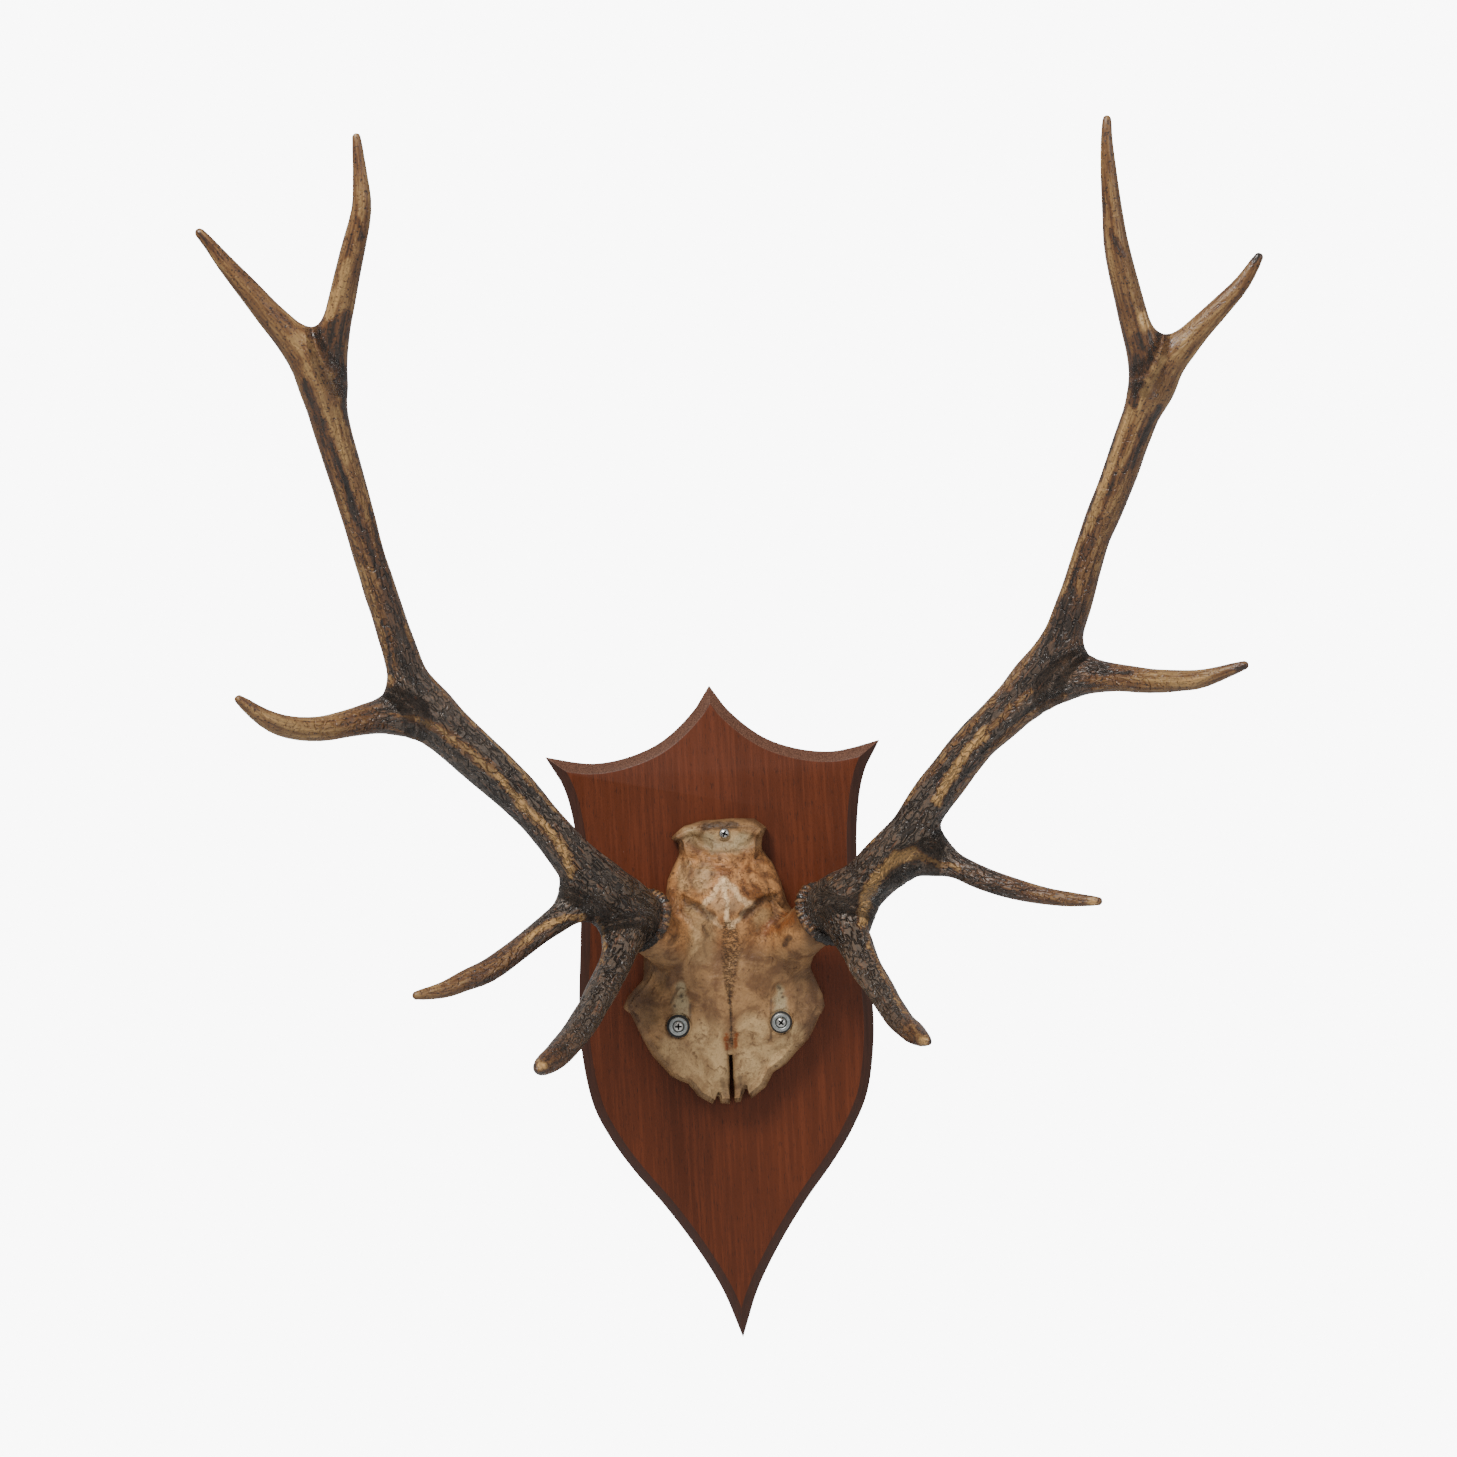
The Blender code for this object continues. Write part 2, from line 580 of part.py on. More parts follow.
def make_fastenings(group, cutters, shield, steel, cup_metal, rubber):
    (top, top_seat, _), (left, low_seat, _), (right, _, _) = screw_seats()
    make_screw("top_screw", top, top_seat - GAP, TOP_SCREW_TURN, group, cutters, steel)
    for side, spot, width, turn in (("left", left, LEFT_RING_DIAMETER, 0.0),
                                    ("right", right, RIGHT_RING_DIAMETER, math.pi / 4)):
        ring_seat = low_seat - GAP
        cup_seat = ring_seat - RING_THICKNESS - GAP
        make_rubber_ring(side + "_rubber_ring", spot, ring_seat, width, group, rubber)
        make_cup_washer(side + "_cup_washer", spot, cup_seat, group, cup_metal)
        make_screw(side + "_screw", spot, cup_seat - CUP_WALL - GAP, turn, group, cutters, steel)
    for spot in (top, left, right):
        end = -SHIELD_THICKNESS + SCREW_BITE + 2 * GAP
        drill(shield, spot, -SHIELD_THICKNESS - GAP, end, SCREW_SHANK_DIAMETER + 2 * GAP, cutters)


def main():
    clear_scene()
    parts = collection("antler_mounting_plaque")
    cutters = collection("cutters")
    wood = material("reddish_brown_wood", (0.13, 0.035, 0.017), 0.45)
    bone_look = material("antler_and_bone", (0.24, 0.16, 0.09), 0.5)
    steel = material("bright_steel", (0.62, 0.62, 0.60), 0.3, 1.0)
    cup_metal = material("pale_cup_metal", (0.55, 0.55, 0.53), 0.4, 1.0)
    rubber = material("black_rubber", (0.01, 0.01, 0.01), 0.6)
    shield = make_shield(parts, wood)
    make_bone(parts, cutters, bone_look)
    make_fastenings(parts, cutters, shield, steel, cup_metal, rubber)


main()
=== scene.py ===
"""Red deer antlers on their sawn skull plate, screwed to a stained wooden wall shield.

Metres, +Z up. The wall is the plane Y = 0 and the antlers reach out towards -Y.
"""

import math

import bpy
import numpy as np
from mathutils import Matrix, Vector, noise


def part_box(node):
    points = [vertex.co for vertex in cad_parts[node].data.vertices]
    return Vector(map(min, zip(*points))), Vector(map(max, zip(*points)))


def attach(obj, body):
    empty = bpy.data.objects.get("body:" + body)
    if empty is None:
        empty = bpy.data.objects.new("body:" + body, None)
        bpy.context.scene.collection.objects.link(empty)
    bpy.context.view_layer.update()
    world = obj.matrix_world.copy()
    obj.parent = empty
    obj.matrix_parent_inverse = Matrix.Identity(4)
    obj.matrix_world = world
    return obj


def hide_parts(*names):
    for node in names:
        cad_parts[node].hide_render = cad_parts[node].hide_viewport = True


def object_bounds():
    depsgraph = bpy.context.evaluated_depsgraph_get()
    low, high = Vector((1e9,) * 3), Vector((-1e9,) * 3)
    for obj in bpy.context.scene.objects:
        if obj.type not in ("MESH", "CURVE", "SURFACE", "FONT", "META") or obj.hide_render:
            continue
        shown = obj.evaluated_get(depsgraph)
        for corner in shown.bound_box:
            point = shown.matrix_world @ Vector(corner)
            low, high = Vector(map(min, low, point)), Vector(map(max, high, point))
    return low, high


bl_info = {
    "name": "Antler wall plaque",
    "version": (1, 0, 0),
    "blender": (4, 5, 0),
    "location": "3D Viewport > Sidebar > Antlers",
    "description": "Builds a pair of antlers on a skull plate and a wooden shield, with its stage",
    "category": "Object",
}

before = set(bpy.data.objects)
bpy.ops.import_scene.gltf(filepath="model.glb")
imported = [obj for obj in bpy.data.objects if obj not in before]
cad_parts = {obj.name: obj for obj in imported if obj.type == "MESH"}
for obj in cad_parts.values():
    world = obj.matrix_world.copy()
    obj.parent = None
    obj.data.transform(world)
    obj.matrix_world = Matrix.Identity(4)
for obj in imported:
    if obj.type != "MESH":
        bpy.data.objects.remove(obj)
CAD_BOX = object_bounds()
bpy.ops.object.select_all(action="DESELECT")

# Photograph, camera and lights
PHOTO_MIDDLE_PIXEL = 728.5
PIXEL_AT_SHIELD = 0.00078
CAMERA_PLACE = (0.0135, -2.62, 0.221)
CAMERA_ROLL = math.radians(3)
CAMERA_LENS = 82.36
KEY_POWER = 88.0
FILL_POWER = 18.0
SURROUNDINGS_STRENGTH = 0.46
BACKDROP_STRENGTH = 9.0
FLOOR_HEIGHT = -1.1
FLOOR_SIZE = 5.0

# Shield, with half of its outline drawn in millimetres, across and up
SHIELD_THICKNESS = 0.020
CHAMFER = 0.008
FRONT_TILT = -0.9
CHAMFER_TILT = -0.4
TOP_TILT = 0.3
EDGE_ANGLE = 25
SMOOTH_ANGLE = 20
ARC_STEPS = 8
TOP_ARC = [(0, 255.5), (11, 239), (28, 222), (46, 210), (69, 202), (92, 199), (112, 201.5), (131, 206)]
SIDE_CURVE = [(131, 206), (120, 187), (113.5, 166), (109.5, 135), (108.5, 100), (111, 60), (114.5, 12),
              (114.5, -25), (108, -66), (95, -95), (78, -121), (56, -149), (36, -178), (19, -207),
              (9.5, -228), (0, -255.5)]

# Where the drawn skull and antlers stand, and the fillets of branches, bone and sawn edge
MILLIMETRE = 0.001
SKULL_ASIDE = -0.002
WEB = 0.022
SKULL_WEB = 0.012
SAWN_EDGE = 0.004
SLAB_BACK = -0.0204
SLAB_FRONT = -0.058
SEAM_LAP = 0.0015
CORONET_POINT = 2
PEDICLE_POINTS = 3
ROOT_POINTS = 5

# Rods for the branches, and how vertices are settled on to the wanted surface
PATH_STEPS = 3
TUBE_SIDES = 5
TIP_STEPS = ((0.6, 0.8), (0.95, 0.3))
SETTLING_STEPS = 4
SETTLING_REACH = 0.0035
SETTLING_NUDGE = 0.0002
LEAST_STEEPNESS = 0.3
DOUBLES = 0.000001
SMALLEST = 1e-9
FAR = 1e9

# Coronets
PEARLS = 33
PEARL_HEIGHT = 0.0013
CORONET_RADIUS = 0.0230
CORONET_TUBE = 0.0040
CORONET_SEGMENTS = 96
CORONET_TUBE_SEGMENTS = 24
RING_FADE = (0.004, 0.009)
RING_SMOOTHNESS = 0.85
RING_TONES = (0.02, 0.97)

# Waves of the skin, each by how many go to a metre: along and across a branch, or alike in all ways.
# The shifts keep waves of one kind apart from those of another. Strokes wander and end in pixels.
GROOVES = (14.0, 190.0)
FINE_GROOVES = (30.0, 330.0)
FINE_GROOVE_SHARE = 0.5
GROOVE_SHIFT = 3.0
WANDER_SHIFT = 5.0
PEARL_SHIFT = 9.0
FORK_WAVES = 150.0
LUMPS = 45.0
STROKE_WAVES = 160.0
PEARL_WAVES = 230.0
BONE_STROKE_WAVES = 260.0
BONE_SWELLS = 55.0
BONE_DIMPLES = 170.0
BONE_SWELL_HEIGHT = 0.0005
BONE_DIMPLE_HEIGHT = 0.0003
FORK_FADE = (0.001, 0.008)
SMOOTH_TIP = 0.03
LEAST_LUMPS = 0.2
LUMP_TONE = 0.07
GROOVE_TONE = 0.05
FACING_FADE = 0.35
ANTLER_WANDER = 3.0
BONE_WANDER = 1.7
FINE_STROKE = 4
STROKE_CORE = 0.25
STROKE_EDGE = 0.75
DOT = 0.01

# Flat spots under the screws, the darkened sawn rim, painted shade in the nasal cleft, and the fade to the
# flat back
SPOT_ROOM = 0.0005
SPOT_EDGE = 0.002
SCREW_SPOT = 0.009
SPOT_FADE = 1.6
SAWN_RIM = 0.007
SAWN_DARKNESS = 0.42
CLEFT_SHADE = 0.8
CLEFT_DEPTH = 0.6
BACK_FADE = (0.0005, 0.003)

# Screws, cups and rubber rings
TURNED_SIDES = 56
TURNED_EDGE_ANGLE = 30
SCREW_HEAD_HEIGHT = 0.0032
SHANK_RADIUS = 0.002
HEAD_RIM = 0.0004
HEAD_FOOT = 0.96
DOME_ANGLES = (0.25, 1.35, 7)
RECESS_DEPTH = 0.0034
RECESS_SHADE_DEPTH = 0.00035
RECESS_REACH = 0.6
SCREW_SOFTNESS = 0.00012
HOLE_RADIUS = 0.0023
CUP_FLOOR = 0.0007
CUP_WELL = 0.0044
WELL_FLARE = 0.0001
CUP_LIP = 0.0051
CUP_RIM = 0.0011
CUP_FLARE = 0.0006
CUP_SOFTNESS = 0.00015
RUBBER_ROUNDING = 0.0007
RUBBER_SOFTNESS = 0.0002
LIP_DROP = 0.0004
SIDE_SLOPE = 0.0002
FOOT_ROUNDING = 0.0003

# Skull plate, drawn in millimetres: its sawn edge, across and up, then the swellings of the bone and the
# hollows of the orbits, each by its middle, across, out and up, and its three half widths
SKULL_EDGE = [(-34, 138), (-23, 147), (-10, 150), (13, 151), (32, 150), (41, 142), (37, 136),
              (37, 126), (45, 115), (50, 100), (54, 84), (66, 66), (72, 48), (67, 36), (77, 11),
              (78, 3), (72, -10), (65, -23), (47, -41), (36, -47), (30, -58), (18, -67), (15, -56),
              (10, -69), (5, -69), (5.4, -38), (4, -20), (2.6, -38), (1.6, -70), (-6, -69), (-8, -61),
              (-12, -70), (-23, -63), (-30, -53), (-45, -48), (-57, -31), (-64, -14), (-72, 4),
              (-78, 9), (-73, 18), (-60, 30), (-60, 46), (-52, 60), (-44, 75), (-41, 87), (-38, 106),
              (-29, 125), (-29, 134)]
SKULL_SWELLINGS = [
    (5, 18, 90, 48, 46, 49),
    (6, 18, 18, 74, 38, 88),
    (4, 18, -40, 40, 26, 46),
    (6, 20, 142, 44, 23, 16),
    (-52, 20, 8, 34, 25, 40),
    (58, 20, 8, 34, 25, 40),
    (-35, 38, -6, 16, 12, 16),
    (44, 38, -7, 16, 12, 16),
]
ORBIT_HOLLOWS = [
    (-84, 14, 6, 24, 19, 24),
    (86, 14, 8, 24, 19, 24),
]

# Each branch: across, out from the wall, up and the radius there
LEFT_CORONET = (-59, 80, 78)
LEFT_BRANCHES = {
    "beam": [(-27, 36, 46, 19), (-45, 62, 63, 18.4), (-59, 80, 78, 20.2), (-72, 104, 93, 21),
             (-88, 128, 109, 20.2), (-105, 148, 132, 16.3), (-123, 162, 157, 14.4),
             (-140, 172, 179, 15.4), (-157, 182, 198, 16.8), (-175, 192, 217, 17.5),
             (-196, 202, 239, 18.4), (-211, 210, 263, 15.7), (-218, 219, 290, 12.8),
             (-233, 244, 354, 11.3), (-241, 261, 396, 12), (-250, 277, 438, 13),
             (-255, 288, 465, 14.2), (-262, 298, 488, 13.2), (-274, 307, 508, 11.4),
             (-287, 315, 524, 9.5), (-299, 322, 540, 7.9), (-313, 328, 558, 6),
             (-323, 332, 572, 4.3), (-331, 334, 582, 3.2)],
    "inner_top": [(-250, 291, 480, 8), (-245, 303, 502, 10.8), (-239, 312, 521, 9.7),
                  (-226, 329, 560, 8.6), (-217, 338, 588, 6.9), (-216, 343, 610, 5.2),
                  (-217, 346, 640, 3)],
    "trez": [(-208, 206, 244, 11), (-223, 214, 243, 13.4), (-238, 224, 242, 11.9),
             (-254, 238, 239, 10), (-274, 256, 236, 8.8), (-293, 274, 238, 8.1),
             (-308, 288, 245, 6.6), (-326, 300, 261, 3.2)],
    "bez": [(-90, 126, 102, 11), (-106, 138, 95, 11.5), (-126, 155, 82, 9.2), (-148, 173, 67, 8.4),
            (-169, 190, 54, 8.7), (-186, 203, 48, 7.5), (-201, 214, 43, 5.8), (-221, 227, 41, 3.2)],
    "brow": [(-66, 100, 82, 12), (-72, 122, 65, 13.5), (-79, 147, 48, 11.7), (-88, 172, 33, 11),
             (-98, 201, 17, 10.9), (-109, 230, 4, 10.3), (-118, 258, -4, 9.3),
             (-126, 282, -8, 7.2), (-129, 301, -9, 3.4)],
}
RIGHT_CORONET = (82, 80, 76)
RIGHT_BRANCHES = {
    "beam": [(46, 36, 43, 19), (65, 62, 62, 18.4), (82, 80, 76, 20.2), (97, 104, 89, 19.2),
             (114, 126, 104, 17.3), (135, 146, 125, 15.9), (151, 160, 146, 15.4),
             (165, 170, 166, 15.6), (180, 180, 184, 15.4), (195, 189, 202, 15.2),
             (211, 198, 216, 15.7), (235, 207, 239, 16.4), (254, 217, 265, 15),
             (265, 226, 290, 12.9), (280, 246, 336, 11.4), (288, 255, 356, 12.1),
             (299, 266, 382, 12.3), (309, 277, 409, 12.7), (320, 288, 435, 12.9),
             (331, 298, 455, 12.2), (343, 306, 468, 10.5), (356, 312, 481, 8.6),
             (370, 318, 494, 7.3), (385, 324, 509, 5.6), (398, 330, 528, 3.2)],
    "inner_top": [(323, 291, 446, 8), (317, 302, 469, 11), (311, 311, 489, 10.4),
                  (300, 329, 532, 8.9), (297, 336, 555, 7.4), (295, 342, 582, 5.9),
                  (294, 347, 607, 4.2), (295, 348, 625, 3)],
    "trez": [(243, 206, 240, 11), (260, 214, 244, 14.4), (278, 224, 245, 12.6), (295, 237, 243, 10),
             (316, 254, 239, 8.9), (335, 271, 238, 7.5), (351, 285, 239, 6.2), (379, 301, 247, 3.2)],
    "bez": [(134, 140, 118, 11), (149, 150, 122, 12.6), (165, 158, 118, 11.3), (180, 167, 110, 9),
            (197, 178, 101, 8.5), (218, 192, 93, 7.7), (238, 205, 88, 6.3), (256, 216, 85, 5.2),
            (277, 227, 83, 3.1)],
    "brow": [(90, 100, 87, 12), (96, 122, 69, 14.2), (103, 145, 52, 12.1), (109, 165, 38, 11.3),
             (116, 188, 25, 10.4), (123, 212, 12, 9.5), (130, 238, 3, 8.7), (137, 266, -2, 7.3),
             (143, 301, -4, 3.2)],
    "crest": [(103, 110, 72, 6), (107, 120, 85, 6), (117, 131, 100, 6), (131, 141, 113, 6),
              (148, 152, 120, 6), (166, 161, 117, 5)],
}

# How light each branch is, from its root to its tip, and how deeply it is wrinkled
BRANCH_TONES = {
    "beam": [0.19, 0.21, 0.23, 0.22, 0.22, 0.21, 0.30, 0.34, 0.37, 0.41, 0.42, 0.38],
    "inner_top": [0.30, 0.38, 0.42, 0.43, 0.40, 0.42],
    "trez": [0.20, 0.30, 0.42, 0.44, 0.38],
    "bez": [0.20, 0.22, 0.24, 0.28, 0.33, 0.40],
    "brow": [0.20, 0.22, 0.24, 0.25, 0.25, 0.26],
    "crest": [0.42, 0.50, 0.50, 0.40],
}
BRANCH_WRINKLES = {
    "beam": [1.0, 1.0, 1.0, 0.85, 0.7, 0.6, 0.45, 0.3, 0.15, 0.1, 0.05],
    "inner_top": [0.15, 0.15, 0.15, 0.1, 0.05],
    "trez": [0.8, 0.5, 0.3, 0.2, 0.1],
    "bez": [0.9, 0.7, 0.5, 0.35, 0.2],
    "brow": [1.0, 1.0, 0.8, 0.6, 0.2],
    "crest": [0.5, 0.5, 0.5, 0.5],
}

# Strokes of lighter and darker antler: tone, width and points of the stroke, both in photograph pixels
LEFT_STROKES = [
    (0.36, 12, [(573, 870), (559, 842), (528, 812), (494, 773), (466, 748), (440, 730), (412, 717)]),
    (0.68, 6.5, [(571, 876), (567, 857), (558, 842), (545, 826), (528, 812), (511, 791), (494, 773)]),
    (0.48, 5, [(494, 773), (480, 763), (466, 748), (449, 736), (432, 725), (412, 716), (392, 714)]),
    (0.48, 5, [(583, 832), (566, 818), (545, 798), (518, 767), (494, 739), (473, 722), (449, 698),
               (432, 677), (418, 653)]),
    (0.36, 5, [(383, 726), (415, 738), (440, 757), (465, 785)]),
    (0.17, 28, [(404, 700), (396, 698)]),
    (0.17, 16, [(420, 700), (409, 671), (405, 650)]),
    (0.46, 11, [(390, 682), (389, 656), (379, 621), (371, 598), (360, 568)]),
    (0.16, 3, [(393, 676), (389, 650), (382, 622)]),
    (0.19, 11, [(406, 648), (394, 614), (383, 579), (371, 549), (360, 522), (349, 495)]),
    (0.20, 9, [(349, 495), (337, 468), (327, 441), (315, 406), (306, 384)]),
    (0.50, 11, [(413, 636), (398, 591), (387, 549), (375, 510), (364, 476), (352, 438), (341, 411)]),
    (0.50, 14, [(310, 366), (322, 396), (334, 427), (345, 457)]),
    (0.24, 3, [(404, 622), (390, 580), (378, 540), (368, 505)]),
    (0.21, 12, [(316, 334), (330, 328), (346, 317)]),
    (0.18, 20, [(328, 341), (340, 332)]),
    (0.18, 16, [(334, 350), (339, 366)]),
    (0.21, 11, [(340, 370), (342, 388)]),
    (0.22, 7, [(343, 390), (346, 418)]),
    (0.22, 4, [(345, 410), (356, 449), (368, 487)]),
    (0.66, 8, [(329, 316), (341, 284), (348, 262)]),
    (0.24, 4, [(333, 274), (338, 255), (345, 238)]),
    (0.20, 5, [(360, 239), (358, 219)]),
    (0.28, 7, [(214, 248), (222, 258)]),
    (0.58, 8, [(583, 916), (566, 918), (545, 925), (525, 942)]),
    (0.40, 7, [(525, 942), (507, 959), (494, 970), (473, 977), (449, 987)]),
    (0.46, 9, [(436, 990), (418, 995)]),
    (0.46, 5, [(596, 918), (602, 930), (604, 945), (600, 962)]),
    (0.74, 11, [(541, 1065)]),
    # Black under the coronet ring: painted shade in the hollow between the ring and the brow tine
    (0.00, 14, [(638, 956), (654, 951)]),
]
RIGHT_STROKES = [
    (0.42, 4, [(826, 880), (851, 859), (879, 832), (906, 801), (927, 773)]),
    (0.33, 12, [(927, 775), (955, 740), (986, 705), (1017, 670), (1037, 643), (1054, 615)]),
    (0.42, 6, [(930, 772), (955, 740), (986, 705), (1017, 670), (1037, 643), (1054, 615)]),
    (0.15, 7, [(893, 822), (920, 798), (941, 773), (962, 749), (986, 722), (1010, 694), (1031, 670)]),
    (0.30, 13, [(938, 798), (950, 778), (966, 753), (990, 730), (1020, 702)]),
    (0.68, 10, [(937, 801), (948, 780), (965, 753), (986, 732)]),
    (0.42, 6, [(986, 732), (1010, 708), (1031, 691)]),
    (0.14, 4, [(962, 780), (975, 760), (1000, 732), (1027, 711), (1058, 694)]),
    (0.37, 10, [(957, 801), (976, 774), (1000, 743), (1031, 716), (1065, 698)]),
    (0.36, 15, [(864, 921), (866, 897), (879, 874), (897, 857), (913, 853)]),
    (0.64, 11, [(864, 921), (866, 897), (879, 874), (897, 857), (913, 853)]),
    (0.50, 7, [(913, 853), (934, 862), (958, 869)]),
    # Dark strip on the underside below the crest ridge: painted shade
    (0.12, 5, [(873, 903), (893, 878), (920, 867)]),
    (0.48, 4, [(867, 921), (870, 946), (886, 977), (903, 1008), (920, 1035)]),
    (0.74, 11, [(923, 1041)]),
    (0.17, 18, [(930, 835), (940, 845)]),
    (0.30, 7, [(975, 873), (1010, 884), (1044, 892)]),
    (0.38, 7, [(1052, 895), (1079, 899)]),
    (0.14, 4, [(948, 870), (982, 887), (1010, 897)]),
    (0.66, 9, [(1092, 901)]),
    (0.17, 24, [(1070, 606), (1062, 629), (1051, 653)]),
    (0.17, 18, [(1051, 655), (1035, 672)]),
    (0.18, 16, [(1075, 655), (1100, 668)]),
    (0.14, 4, [(1095, 672), (1130, 674)]),
    (0.20, 9, [(1075, 610), (1071, 586), (1083, 551), (1095, 519)]),
    (0.21, 8, [(1095, 519), (1114, 487), (1130, 464), (1146, 432), (1158, 408)]),
    (0.52, 11, [(1060, 590), (1075, 551), (1095, 511), (1114, 456), (1130, 416), (1146, 385), (1162, 361)]),
    (0.20, 5, [(1130, 377), (1122, 408), (1106, 456), (1091, 503), (1075, 543), (1059, 586)]),
    (0.42, 6, [(1095, 575), (1103, 543), (1118, 515)]),
    (0.21, 12, [(1137, 341), (1160, 337)]),
    (0.21, 19, [(1145, 348), (1141, 366)]),
    (0.21, 13, [(1140, 368), (1137, 384)]),
    (0.22, 8, [(1137, 384), (1134, 404)]),
    (0.28, 5, [(1110, 228), (1118, 246), (1125, 256)]),
    (0.30, 4, [(1116, 219), (1120, 228)]),
    # Painted highlight on the inner tine
    (0.74, 7, [(1142, 316), (1146, 325)]),
    (0.20, 7, [(1254, 260), (1259, 252)]),
    (0.20, 7, [(1238, 668), (1246, 666)]),
    # Black under the coronet ring: painted shade in the hollow between the ring and the brow tine
    (0.00, 14, [(821, 937), (834, 943)]),
]

